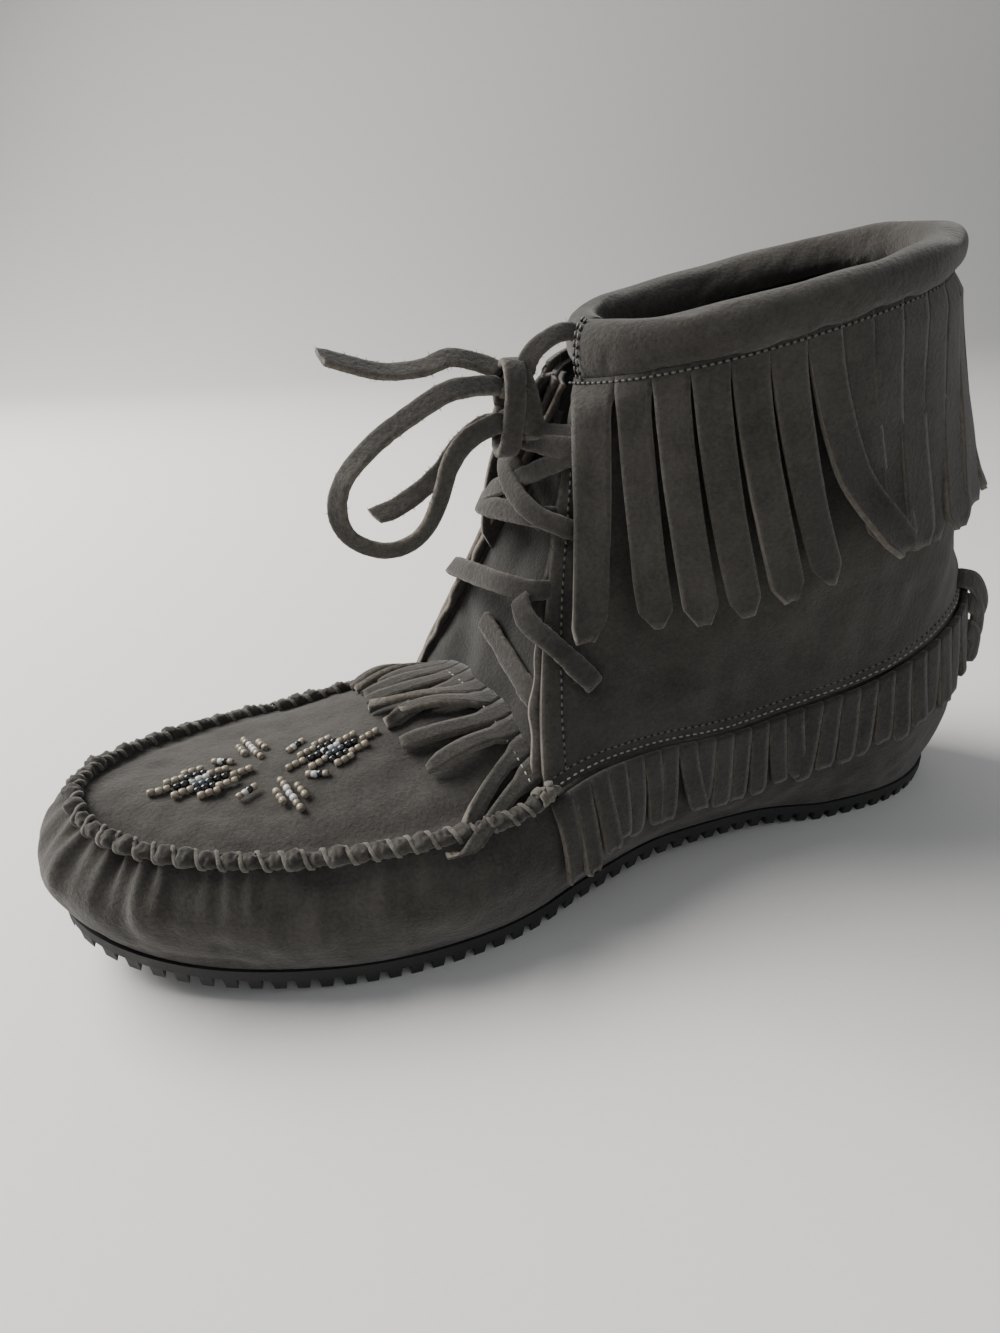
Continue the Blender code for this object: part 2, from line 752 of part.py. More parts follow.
def make_cuff_fringe(collection, finish):
    """Long fringe hanging from under the collar roll, over the shaft."""
    ring, _ = collar_point(np.linspace(0, 1, 400))
    round_length = np.linalg.norm(np.diff(ring, axis=0), axis=1).sum()
    count = round(round_length / CUFF_STRAND_WIDTH)
    sway = np.random.default_rng(4)
    leans = sway.uniform(-CUFF_LEAN, CUFF_LEAN, count)
    lifts = sway.uniform(0.0, CUFF_LIFT, count)
    heights = np.linspace(0.03, COLLAR_HEIGHT_BACK, 60)
    sections = [shaft_section(height) for height in heights]
    steps = np.linalg.norm(np.diff(ring[:, :2], axis=0), axis=1)
    run = np.concatenate([[0], np.cumsum(steps)])
    whole = run[-1]
    shares = np.linspace(0, 1, 400)
    lace_room = 2 * LACE_THICKNESS + LACE_REST + LACE_LIFT

    def place(u, depth, strand):
        share = np.interp(u * whole, run, shares)
        start, outward = collar_point(share)
        tangent = np.array([-outward[1], outward[0]])
        from_end = min(u, 1 - u) * whole
        near_lace = max(0.0, 1 - (from_end / LACE_ROOM_REACH) ** 2)
        strand_length = CUFF_STRAND_LENGTH - CUFF_END_SHORTER * near_lace
        height = start[2] - FRINGE_BELOW_RIM - strand_length * depth
        room = FRINGE_ROOM + lace_room * near_lace * min(1.0, depth / FRINGE_ROOM_GROWS_BY)
        room += (CUFF_FLARE + lifts[strand]) * depth**2
        hang = start[:2] + tangent * leans[strand] * depth**1.5 + outward * room
        close = int(np.argmin(np.abs(heights - height)))
        for section in sections[max(close - 1, 0) : close + 2]:
            hang = clear_of(section, hang, room)
        return (hang[0], hang[1], height)

    return comb("cuff_fringe", place, count, CUFF_COMB, collection, finish, flip=True)


def make_side_fringe(collection, finish):
    """Short fringe hanging from the side seam round the back of the boot."""
    fine = np.linspace(throat_turn(-1), 2 * math.pi - throat_turn(1), 400)
    line = wall_point(fine, np.ones_like(fine))
    steps = np.linalg.norm(np.diff(line, axis=0), axis=1)
    run = np.concatenate([[0], np.cumsum(steps)])
    count = round(run[-1] / SIDE_STRAND_WIDTH)
    sway = np.random.default_rng(9)
    leans = sway.uniform(-SIDE_LEAN_TURN, SIDE_LEAN_TURN, count)
    lifts = sway.uniform(0.0, SIDE_LIFT, count)

    def place(u, depth, strand):
        turn = np.interp(u * run[-1], run, fine) + leans[strand] * depth
        share = length_share(turn)
        wall_height = top_height(share) - sole_top(share)
        rise = SIDE_ROOT_RISE - depth * SIDE_STRAND_LENGTH / wall_height
        away = FRINGE_ROOM + (SIDE_FLARE + lifts[strand]) * depth**2
        return tuple(wall_point(turn, rise, away))

    return comb("side_fringe", place, count, SIDE_COMB, collection, finish, flip=True)


def make_vamp_fringe(collection, finish):
    """Short fringe across the instep, lying forwards on the plug."""
    ends = plug_point(np.array([1.0, 1.0]), np.array([-1.0, 1.0]))
    across = np.linalg.norm(ends[1] - ends[0]) * VAMP_CROWN_LENGTH
    count = round(across / VAMP_STRAND_WIDTH)
    sway = np.random.default_rng(3)
    reach = VAMP_STRAND_LENGTH / (LENGTH * THROAT_SHARE)
    lifts = sway.uniform(*VAMP_LIFT, count)
    lengths = sway.uniform(*VAMP_LENGTH_SHARES, count)

    def place(u, depth, strand):
        share = 1.0 - depth * reach * lengths[strand]
        spot = plug_point(np.array(share), np.array(VAMP_WIDTH_SHARE * (2 * u - 1)))
        away = FRINGE_ROOM + lifts[strand] * depth
        return (spot[0] + VAMP_LEAN_BACK * away, spot[1], spot[2] + away)

    return comb("vamp_fringe", place, count, VAMP_COMB, collection, finish)


def make_collar_roll(collection, finish):
    """Padded suede tube on the collar's rim, from one throat edge to the other."""
    count = ROLL_STEPS
    shares = np.linspace(ROLL_END_SHARE, 1 - ROLL_END_SHARE, count)
    centre, outward = collar_point(shares)
    rings = []
    around = np.linspace(0, 2 * math.pi, 10, endpoint=False)
    section = [
        [math.copysign(abs(part) ** ROLL_SQUARENESS, part) for part in (math.cos(a), math.sin(a))]
        for a in around
    ]
    for k in range(count):
        fade = ROLL_END_WIDTH if k in (0, count - 1) else 1.0
        taper = 1 - ROLL_TAPER * math.sin(math.pi * shares[k])
        half_height = ROLL_HEIGHT / 2 * taper
        half_width = ROLL_WIDTH / 2 * fade
        at_back = max(0.0, math.sin(math.pi * shares[k])) ** ROLL_SET_IN_POWER
        set_in = ROLL_SET_IN + (ROLL_SET_IN_BACK - ROLL_SET_IN) * at_back
        spot = centre[k, :2] - outward[k] * set_in
        middle = np.array([*spot, centre[k, 2] + half_height + CLEARANCE])
        way = np.array([*outward[k], 0.0])
        up = np.array([0, 0, half_height])
        rings.append([middle + way * half_width * flat + up * high for flat, high in section])
    made = loft("collar_roll", rings, collection, finish)
    smooth(made, 60)
    return made


def lace_strip(start, end, lift, stack=0.0, steps=9):
    """A stretch of lace from a hole on one quarter to one on the other.

    start and end are a hole and a side, -1 inner or +1 outer, and stack lifts
    the whole stretch. Returns the two edges of the flat thong at each step.
    """
    (hole_a, side_a), (hole_b, side_b) = start, end
    centre = []
    normals = []
    for t in np.linspace(0, 1, steps):
        rise = hole_a[0] + (hole_b[0] - hole_a[0]) * t
        setback = hole_a[1] + (hole_b[1] - hole_a[1]) * t
        _, _, _, edge = throat_line(rise)
        distance = (side_a + (side_b - side_a) * t) * (edge + setback)
        away = LACE_THICKNESS + LACE_REST + stack + lift * math.sin(math.pi * t)
        spot, normal = throat_point(rise, distance, away)
        centre.append(spot)
        normals.append(normal)
    rows = []
    for k in range(steps):
        along = centre[min(k + 1, steps - 1)] - centre[max(k - 1, 0)]
        side = np.cross(along, normals[k])
        side *= 0.5 * LACE_WIDTH / np.linalg.norm(side)
        rows.append((centre[k] - side, centre[k] + side))
    return rows


def make_lace_crossings(collection, finish):
    """The lace's zigzags over the tongue, fused where they cross and at the holes."""
    strips = []
    for k, (low, high) in enumerate(zip(LACE_HOLES, LACE_HOLES[1:])):
        stack = 0.0 if k % 2 else LACE_STACK
        strips.append(lace_strip((low, -1), (high, 1), LACE_LIFT, stack))
        strips.append(lace_strip((low, 1), (high, -1), LOWER_STRIP_LIFT, stack))
    top = LACE_HOLES[-1]
    strips.append(lace_strip((top, -1), (top, 1), TOP_BAR_LIFT))
    joined = None
    for k, rows in enumerate(strips):
        name = "lace_crossings" if k == 0 else f"lace_strip_{k}"
        made = sheet(name, rows, LACE_THICKNESS, collection, finish)
        solid = bpy.data.meshes.new_from_object(
            made.evaluated_get(bpy.context.evaluated_depsgraph_get())
        )
        made.modifiers.clear()
        made.data = solid
        if joined is None:
            joined = made
            continue
        fuse = joined.modifiers.new("fuse", "BOOLEAN")
        fuse.operation = "UNION"
        fuse.object = made
        bpy.context.view_layer.update()
        fused = bpy.data.meshes.new_from_object(
            joined.evaluated_get(bpy.context.evaluated_depsgraph_get())
        )
        joined.modifiers.clear()
        joined.data = fused
        bpy.data.objects.remove(made)
    return joined


def smooth_route(route, radius):
    """Evenly spaced points on a smooth curve through the route's own points."""
    route = [Vector(point) for point in route]
    dense = []
    for k in range(len(route) - 1):
        before = route[max(k - 1, 0)]
        after = route[min(k + 2, len(route) - 1)]
        start_way = (route[k + 1] - before) / 2
        end_way = (after - route[k]) / 2
        for step in range(16):
            t = step / 16
            dense.append(
                route[k] * ((1 + 2 * t) * (1 - t) ** 2)
                + start_way * (t * (1 - t) ** 2)
                + route[k + 1] * (t * t * (3 - 2 * t))
                + end_way * (t * t * (t - 1))
            )
    dense.append(route[-1])
    dense = np.array([tuple(point) for point in dense])
    run = np.concatenate([[0], np.cumsum(np.linalg.norm(np.diff(dense, axis=0), axis=1))])
    count = min(80, max(6, round(run[-1] / (5 * radius)) + 1))
    at = np.linspace(0, run[-1], count)
    return np.stack([np.interp(at, run, dense[:, k]) for k in range(3)], -1)


def make_cord(name, route, radius, collection, finish):
    points = smooth_route(route, radius)
    curve = bpy.data.curves.new(name, "CURVE")
    curve.dimensions = "3D"
    curve.bevel_depth = radius
    curve.bevel_resolution = 2
    curve.use_fill_caps = True
    spline = curve.splines.new("POLY")
    spline.points.add(len(points) - 1)
    for spot, point in zip(spline.points, points):
        spot.co = (*point, 1)
    made = bpy.data.objects.new(name, curve)
    made.data.materials.append(finish)
    collection.objects.link(made)
    return made


# Knot of the bow: half sizes, height above the top bar, and where each cord
# leaves it, as a direction from its middle
KNOT_SIZE = (0.0042, 0.0052, 0.0105)
KNOT_RAISE = 0.0048
LOOP_LEAVES = (-0.84, -0.25, 0.46)
LOOP_RETURNS = (-0.86, -0.45, -0.25)
FREE_END_LEAVES = (-0.60, 0.30, 0.74)
BACK_END_LEAVES = (-0.75, 0.55, -0.36)

# Routes of the bow in the air, beyond the knot
BIG_LOOP = (
    (-0.1215, -0.0065, 0.1305),
    (-0.1310, -0.0075, 0.1260),
    (-0.1400, -0.0090, 0.1205),
    (-0.1475, -0.0100, 0.1135),
    (-0.1500, -0.0100, 0.1060),
    (-0.1475, -0.0095, 0.0995),
    (-0.1405, -0.0085, 0.0955),
    (-0.1335, -0.0075, 0.0960),
    (-0.1285, -0.0070, 0.1000),
    (-0.1250, -0.0070, 0.1070),
    (-0.1225, -0.0070, 0.1140),
    (-0.1180, -0.0070, 0.1195),
)
FREE_END = (
    (-0.1190, 0.0010, 0.1370),
    (-0.1260, 0.0015, 0.1350),
    (-0.1350, 0.0025, 0.1345),
    (-0.1430, 0.0035, 0.1365),
    (-0.1490, 0.0040, 0.1385),
)
BACK_END = (
    (-0.1170, 0.0050, 0.1160),
    (-0.1220, 0.0058, 0.1100),
    (-0.1280, 0.0062, 0.1050),
    (-0.1350, 0.0065, 0.1010),
    (-0.1400, 0.0065, 0.1000),
)


def knot_middle():
    """Middle of the knot, tied against the outer face of the top bar."""
    out = LACE_THICKNESS + LACE_REST + TOP_BAR_LIFT + CLEARANCE + KNOT_SIZE[0]
    spot, _ = throat_point(LACE_HOLES[-1][0], 0.0, out)
    return spot + np.array([0, 0, KNOT_RAISE])


def leave_knot(direction):
    """Two points that take a cord straight off the knot, square to its surface."""
    way = np.array(direction) / np.linalg.norm(direction)
    size = np.array(KNOT_SIZE)
    square = way / size
    square /= np.linalg.norm(square)
    start = knot_middle() + way * size + square * 2 * CLEARANCE
    return [start, start + square * 2 * LACE_BOW_RADIUS]


def make_knot(collection, finish):
    shape = bmesh.new()
    bmesh.ops.create_uvsphere(shape, u_segments=12, v_segments=8, radius=1.0)
    middle = knot_middle()
    for vertex in shape.verts:
        vertex.co = Vector(middle[k] + vertex.co[k] * KNOT_SIZE[k] for k in range(3))
    mesh = bpy.data.meshes.new("bow_knot")
    shape.to_mesh(mesh)
    shape.free()
    made = bpy.data.objects.new("bow_knot", mesh)
    made.data.materials.append(finish)
    collection.objects.link(made)
    smooth(made, 60)
    return made


# Bead motifs on the plug. Columns: name, distance forward of the throat's middle,
# distance across from the boot's middle line, half length, half width, turn in degrees
BEAD_MOTIFS = (
    ("bead_diamond_front", 0.0725, -0.0132, 0.0125, 0.0062, 4),
    ("bead_diamond_back", 0.0394, -0.0118, 0.0125, 0.0062, 4),
    ("bead_bar_outer", 0.0600, -0.0010, 0.0075, 0.0036, 108),
    ("bead_bar_inner", 0.0512, -0.0240, 0.0078, 0.0036, 108),
    ("bead_dash_front_outer", 0.0683, -0.0045, 0.0028, 0.0013, 35),
    ("bead_dash_front_inner", 0.0610, -0.0206, 0.0028, 0.0013, -35),
    ("bead_dash_back_outer", 0.0495, -0.0045, 0.0028, 0.0013, -35),
    ("bead_dash_back_inner", 0.0445, -0.0200, 0.0028, 0.0013, 35),
)


def on_plug(x, y, lift):
    """Point on the plug above a place in plan, found by stepping along the surface."""
    spot = np.array([0.6, 0.0])
    nudge = 0.01
    for _ in range(12):
        here = plug_point(np.array(spot[0]), np.array(spot[1]))
        ahead = plug_point(np.array(spot[0] + nudge), np.array(spot[1]))
        aside = plug_point(np.array(spot[0]), np.array(spot[1] + nudge))
        steps = np.stack([(ahead - here)[:2], (aside - here)[:2]], -1) / nudge
        spot = spot + np.linalg.solve(steps, np.array([x, y]) - here[:2])
    return (x, y, here[2] + lift)


def make_bead_motif(motif, collection, finish):
    """Low plate of beadwork: a diamond with cut ends, following the plug."""
    name, from_throat, across, half_length, half_width, turn = motif
    profile = ((-1, 0.25), (-0.55, 0.72), (0, 1), (0.55, 0.72), (1, 0.25))
    cos = math.cos(math.radians(turn))
    sin = math.sin(math.radians(turn))
    rows = []
    for along, width in profile:
        row = []
        for side in (-1, 0, 1):
            a = along * half_length
            b = side * width * half_width
            row.append(
                on_plug(
                    x_at(THROAT_SHARE) - from_throat + a * cos - b * sin,
                    across + a * sin + b * cos,
                    CLEARANCE + BEAD_PLATE + BEAD_PLAY,
                )
            )
        rows.append(row)
    return sheet(name, rows, BEAD_PLATE, collection, finish, flip=True)


def main():
    for old in list(bpy.data.objects):
        bpy.data.objects.remove(old)
    scene = bpy.context.scene
    boot = bpy.data.collections.new("fringed_ankle_moccasin")
    cutters = bpy.data.collections.new("cutters")
    scene.collection.children.link(boot)
    scene.collection.children.link(cutters)

    suede = material("grey_suede", (0.085, 0.080, 0.072), 0.95)
    thong = material("suede_thong", (0.105, 0.096, 0.088), 0.95)
    rubber = material("black_rubber", (0.010, 0.010, 0.011), 0.65)
    sock = material("insole_board", (0.060, 0.056, 0.052), 0.90)
    beads = material("seed_beads", (0.45, 0.39, 0.30), 0.25)

    make_outsole(boot, rubber)
    make_insole(boot, sock)
    make_upper(boot, cutters, suede)
    make_tongue(boot, suede)
    make_plug_seam(boot, thong)
    make_collar_roll(boot, suede)
    make_cuff_fringe(boot, suede)
    make_side_fringe(boot, suede)
    make_vamp_fringe(boot, suede)
    make_lace_crossings(boot, thong)
    make_knot(boot, thong)
    loop_route = [*leave_knot(LOOP_LEAVES), *BIG_LOOP, *reversed(leave_knot(LOOP_RETURNS))]
    free_route = [*leave_knot(FREE_END_LEAVES), *FREE_END]
    back_route = [*leave_knot(BACK_END_LEAVES), *BACK_END]
    make_cord("bow_loop", loop_route, LACE_BOW_RADIUS, boot, thong)
    make_cord("lace_end_free", free_route, LACE_BOW_RADIUS, boot, thong)
    make_cord("lace_end_back", back_route, LACE_BOW_RADIUS, boot, thong)
    for motif in BEAD_MOTIFS:
        make_bead_motif(motif, boot, beads)


main()
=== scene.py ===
import math

import bmesh
import bpy
import numpy as np
from mathutils import Matrix, Vector


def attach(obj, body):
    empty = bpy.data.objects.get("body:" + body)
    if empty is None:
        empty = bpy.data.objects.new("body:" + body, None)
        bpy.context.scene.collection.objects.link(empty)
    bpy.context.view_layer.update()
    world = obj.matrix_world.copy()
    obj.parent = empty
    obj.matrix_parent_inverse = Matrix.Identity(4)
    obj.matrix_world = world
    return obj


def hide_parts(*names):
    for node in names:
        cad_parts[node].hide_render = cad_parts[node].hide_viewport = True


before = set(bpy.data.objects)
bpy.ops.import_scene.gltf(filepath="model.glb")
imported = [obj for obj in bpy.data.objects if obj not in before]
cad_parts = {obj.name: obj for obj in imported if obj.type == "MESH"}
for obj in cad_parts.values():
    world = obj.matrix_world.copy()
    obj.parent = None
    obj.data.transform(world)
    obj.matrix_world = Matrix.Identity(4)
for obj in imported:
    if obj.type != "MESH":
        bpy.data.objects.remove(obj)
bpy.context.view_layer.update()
pi = math.pi


def unit(vectors):
    # each vector divided by its own length
    return vectors / np.linalg.norm(vectors, axis=-1, keepdims=True)


def squareTo(vectors, along):
    # unit vectors, less what they share with unit vectors along
    return unit(vectors - along * (vectors * along).sum(-1, keepdims=True))


def runAlong(points):
    # distance along a line, summed from point to point
    return np.concatenate([[0], np.cumsum(np.linalg.norm(np.diff(points, axis=0), axis=1))])


def columnsAt(at, known, table):
    # every column of a table read at places between its rows
    return np.stack([np.interp(at, known, table[:, k]) for k in range(table.shape[1])], -1)


# camera
cameraView = {
    "position": (-0.1632, -0.1952, 0.1553),
    "yaw": 15.38,      # degrees, from +Y towards +X
    "pitch": 26.25,    # degrees below level
    "roll": -1.51,
    "lens": 21.75,
}


def placeCamera(view):
    # looking way from yaw and pitch, then rolled about itself
    yaw, pitch, roll = (math.radians(view[k]) for k in ("yaw", "pitch", "roll"))
    ahead = Vector((math.sin(yaw) * math.cos(pitch), math.cos(yaw) * math.cos(pitch), -math.sin(pitch)))
    right = Vector((math.cos(yaw), -math.sin(yaw), 0.0))
    up = right.cross(ahead)
    across = right * math.cos(roll) + up * math.sin(roll)
    upright = up * math.cos(roll) - right * math.sin(roll)
    data = bpy.data.cameras.new("photoCamera")
    data.lens = view["lens"]
    data.clip_start = 0.01
    data.clip_end = 20
    camera = bpy.data.objects.new("photoCamera", data)
    bpy.context.scene.collection.objects.link(camera)
    turn = Matrix((across, upright, -ahead)).transposed().to_4x4()
    camera.matrix_world = Matrix.Translation(view["position"]) @ turn
    bpy.context.scene.camera = camera


placeCamera(cameraView)
print("camera placed")

# the last and the boot, the same sizes as the solids
last = {
    "length": 0.273, "heelBackX": 0.041, "ballWidth": 0.100, "toeSwing": 0.010,
    "toeSpring": 0.0135, "toeSpringShare": 0.34, "archRise": 0.0028,
    "lugDepth": 0.003, "solePlate": 0.0032, "featherInset": 0.0040,
    "plugSideInset": 0.0085, "plugApexInset": 0.0120,
    "throatInner": 0.455, "throatOuter": 0.375, "throatHeight": 0.042,
    "plugCrown": 0.018, "crownAtToe": 0.22, "bulge": 0.45, "gap": 0.0003,
}
collar = {
    "backX": 0.0045, "length": 0.0965, "width": 0.073, "frontHeight": 0.130,
    "backHeight": 0.1535, "gapAngle": 10, "squareness": 2.3, "heelDip": 0.003,
    "pullIn": 0.004, "pullBack": -0.002, "pullReach": 0.30, "bridgeLow": 0.38,
    "bridgeRise": 0.16,
}
throatShare = (last["throatInner"] + last["throatOuter"]) / 2

# share of length from the toe, inner and outer half width over an ellipse's
outlineTable = (
    (0.00, 1.21, 1.24), (0.05, 1.20, 1.23), (0.10, 1.18, 1.19), (0.20, 1.12, 1.11),
    (0.30, 1.07, 1.08), (0.40, 0.98, 1.04), (0.50, 0.79, 0.96), (0.60, 0.66, 0.87),
    (0.70, 0.64, 0.83), (0.80, 0.75, 0.89), (0.90, 0.91, 0.99), (1.00, 1.04, 1.08),
)
# share of length, inset and height of the seam round the plug and the sides
topLineTable = (
    (0.00, last["plugApexInset"] / last["plugSideInset"], 1.04), (0.04, 1.25, 0.98),
    (0.12, 1.10, 0.91), (0.25, 0.95, 0.85), (throatShare, 0.72, 0.86), (0.52, 0.42, 0.99),
    (0.65, 0.18, 0.97), (0.80, 0.26, 1.12), (0.92, 0.38, 1.38), (1.00, 0.42, 1.58),
)
# rise up the shaft and setback from the throat edge
laceHoles = ((0.22, 0.015), (0.43, 0.009), (0.64, 0.007), (0.85, 0.006))


def curveThrough(table, column, share):
    # monotone cubic through one column: harmonic mean of the slopes as tangents
    rows = np.array(table, float)
    x, y = rows[:, 0], rows[:, column]
    step = np.diff(x)
    slope = np.diff(y) / step
    sameWay = slope[:-1] * slope[1:] > 0
    tangent = np.zeros_like(y)
    mean = 2 * slope[:-1] * slope[1:] / np.where(sameWay, slope[:-1] + slope[1:], 1.0)
    tangent[1:-1] = np.where(sameWay, mean, 0.0)
    tangent[0], tangent[-1] = slope[0], slope[-1]
    share = np.clip(share, x[0], x[-1])
    i = np.clip(np.searchsorted(x, share, side="right") - 1, 0, len(step) - 1)
    t = (share - x[i]) / step[i]
    return (
        y[i] * (1 + 2 * t) * (1 - t) ** 2 + tangent[i] * step[i] * t * (1 - t) ** 2
        + y[i + 1] * t**2 * (3 - 2 * t) + tangent[i + 1] * step[i] * t**2 * (t - 1)
    )


def lengthShare(turn):
    # share of the length from the toe: half of one minus the cosine
    return (1 - np.cos(turn)) / 2


def planRaw(angle):
    # half width is the sine of the angle times the outline's fullness
    share = lengthShare(angle)
    innerSide, outerSide = curveThrough(outlineTable, 1, share), curveThrough(outlineTable, 2, share)
    fullness = np.where(np.sin(angle) >= 0, innerSide, outerSide)
    centre = -last["toeSwing"] * np.clip(1 - share / 0.6, 0, 1) ** 1.3
    y = centre - 0.5 * last["ballWidth"] * np.sin(angle) * fullness
    return np.stack([last["heelBackX"] - last["length"] * (1 - share), y], -1)


def planOutline(turn, inset=0.0):
    # outline moved inwards along its own normal in plan
    turn = np.asarray(turn, float)
    along = unit(planRaw(turn + 0.02) - planRaw(turn - 0.02))
    outward = np.stack([along[..., 1], -along[..., 0]], -1)
    return planRaw(turn) - outward * np.asarray(inset)[..., None], outward


def soleTop(share):
    # toe spring and a slight arch, over the lugs and the plate
    spring = last["toeSpring"] * np.clip(1 - share / last["toeSpringShare"], 0, 1) ** 2
    arch = last["archRise"] * np.clip(1 - ((share - 0.62) / 0.17) ** 2, 0, 1)
    return spring + arch + last["lugDepth"] + last["solePlate"]


def topHeight(share):
    return last["throatHeight"] * curveThrough(topLineTable, 2, share)


def wallPoint(turn, rise, offset=0.0):
    # inset falls to nothing at the bulge and grows again above it, as squares
    turn, rise = np.asarray(turn, float), np.asarray(rise, float)
    share = lengthShare(turn)
    below = np.clip(1 - rise / last["bulge"], 0, 1)
    above = np.clip((rise - last["bulge"]) / (1 - last["bulge"]), 0, 1)
    seamInset = last["plugSideInset"] * curveThrough(topLineTable, 1, share)
    inset = last["featherInset"] * below**2 + seamInset * above**2
    low = soleTop(share) + last["gap"]
    spot, _ = planOutline(turn, inset - offset)
    height = low + (topHeight(share) - low) * rise
    return np.concatenate([spot, height[..., None]], -1)


def throatTurn(side):
    return math.acos(1 - 2 * (last["throatInner"] if side < 0 else last["throatOuter"]))


def plugPoint(share, across):
    # straight blend between the two seams, crowned as one minus across squared
    share, across = np.asarray(share, float), np.asarray(across, float)
    inner = wallPoint(throatTurn(-1) * share, np.ones_like(share))
    outer = wallPoint(-throatTurn(1) * share, np.ones_like(share))
    mix = ((across + 1) / 2)[..., None]
    point = inner * (1 - mix) + outer * mix
    width = np.linalg.norm(outer - inner, axis=-1)
    grow = last["crownAtToe"] + (1 - last["crownAtToe"]) * share**3
    point[..., 2] += last["plugCrown"] * (width / last["ballWidth"]) * grow * (1 - across**2)
    return point


def collarPoint(share, outwardBy=0.0):
    # superellipse in plan, tilted up to the back; share 0.5 is the back
    share = np.asarray(share, float)
    angle = (pi - math.radians(collar["gapAngle"])) * (2 * share - 1)
    power = 2 / collar["squareness"]
    halfLength, halfWidth = collar["length"] / 2, collar["width"] / 2
    cos, sin = np.cos(angle), np.sin(angle)
    along = np.sign(cos) * np.abs(cos) ** power
    across = np.sign(sin) * np.abs(sin) ** power
    outward = unit(np.stack([cos / halfLength, sin / halfWidth], -1))
    z = collar["frontHeight"] + (collar["backHeight"] - collar["frontHeight"]) * (along + 1) / 2
    spot = np.stack([collar["backX"] - halfLength + halfLength * along, halfWidth * across], -1)
    spot = spot + outward * np.asarray(outwardBy)[..., None]
    return np.concatenate([spot, z[..., None]], -1), outward


def shaftPoint(share, rise):
    # straight blend from the side seam to the collar, drawn in at the heel and throat
    share, rise = np.asarray(share, float), np.asarray(rise, float)
    start = throatTurn(-1)
    turn = start + (2 * pi - throatTurn(1) - start) * share
    low = wallPoint(turn, np.ones_like(share))
    high, _ = collarPoint(share)
    point = low + (high - low) * rise[..., None]
    hump = 4 * rise * (1 - rise)
    point[..., 0] -= collar["heelDip"] * hump * np.exp(-(((share - 0.5) / 0.13) ** 2))
    nearEdge = np.clip(1 - share / collar["pullReach"], 0, 1) ** 2
    farEdge = np.clip(1 - (1 - share) / collar["pullReach"], 0, 1) ** 2
    early = hump * (1.25 - 0.5 * rise)
    point[..., 1] += collar["pullIn"] * early * (nearEdge - farEdge)
    point[..., 0] += collar["pullBack"] * early * (nearEdge + farEdge)
    return point


def throatLine(rise, count=64):
    # level line of the shaft with the throat gap bridged by a cubic
    ring = shaftPoint(np.linspace(0, 1, count), np.full(count, rise))
    start, end = ring[0], ring[-1]
    startWay, endWay = unit(ring[0] - ring[1]), unit(ring[-2] - ring[-1])
    t = np.linspace(0, 1, 13)[:, None]
    pull = (collar["bridgeLow"] + collar["bridgeRise"] * rise) * np.linalg.norm(end - start)
    bridge = (
        start * (1 + 2 * t) * (1 - t) ** 2 + startWay * pull * t * (1 - t) ** 2
        + end * t**2 * (3 - 2 * t) + endWay * pull * t**2 * (t - 1)
    )
    inner = ring[1 : count // 3][::-1]
    outer = ring[-2 : -count // 3 : -1]
    line = np.concatenate([inner, bridge, outer])
    distance = runAlong(line)
    middle = distance[len(inner) + 6]
    along = unit(np.gradient(line[:, :2], axis=0))
    normal = np.stack([-along[:, 1], along[:, 0]], -1)
    if normal[len(inner) + 6, 0] > 0:
        normal = -normal
    return line, distance - middle, normal, distance[len(inner) + 12] - middle


def throatPoint(rise, distance, offset):
    # point over the throat, moved out square to the level line and the line up the boot
    line, along, normal, _ = throatLine(rise)
    above, aboveAlong, _, _ = throatLine(rise + 0.03)
    spot = columnsAt(distance, along, line)
    up = unit(columnsAt(distance, aboveAlong, above) - spot)
    way = squareTo(unit(np.append(columnsAt(distance, along, normal), 0.0)), up)
    return spot + way * offset, way


# mesh helpers
def quadGrid(rows, columns, wrapRows=False, wrapColumns=False):
    # index arithmetic for every quad of a grid at once
    r = np.arange(rows if wrapRows else rows - 1)
    c = np.arange(columns if wrapColumns else columns - 1)
    r, c = np.meshgrid(r, c, indexing="ij")
    r2, c2 = (r + 1) % rows, (c + 1) % columns
    quads = np.stack([r * columns + c, r * columns + c2, r2 * columns + c2, r2 * columns + c], -1)
    return quads.reshape(-1, 4)


def gridNormals(points, wrapColumns=False):
    # cross product of the two ways along the grid
    if wrapColumns:
        padded = np.concatenate([points[:, -1:], points, points[:, :1]], 1)
        alongColumns = (padded[:, 2:] - padded[:, :-2]) / 2
    else:
        alongColumns = np.gradient(points, axis=1)
    alongRows = np.gradient(points, axis=0)
    normal = np.cross(alongColumns, alongRows)
    return normal / np.maximum(np.linalg.norm(normal, axis=-1, keepdims=True), 1e-12)


def facingOut(normal, points, middleX):
    # turned round where, in plan and on the whole, they look at the boot's middle
    away = points[..., :2] - [middleX, 0]
    return -normal if (normal[..., :2] * away).sum() < 0 else normal


def softNoise(points, size, seed, waves=28):
    # sum of sine waves in random ways, of wavelengths about the size
    rng = np.random.default_rng(seed)
    ways = unit(rng.normal(size=(waves, 3)))
    count = rng.uniform(0.6, 1.5, waves) * 2 * pi / size
    phase = rng.uniform(0, 2 * pi, waves)
    return np.sin(points @ (ways * count[:, None]).T + phase).sum(-1) / math.sqrt(waves / 2)


def lineNoise(run, size, seed):
    # the same noise along one length only
    return softNoise(np.stack([run, 0 * run, 0 * run], -1), size, seed)


def smoothStep(low, high, x):
    t = np.clip((x - low) / (high - low), 0, 1)
    return t * t * (3 - 2 * t)


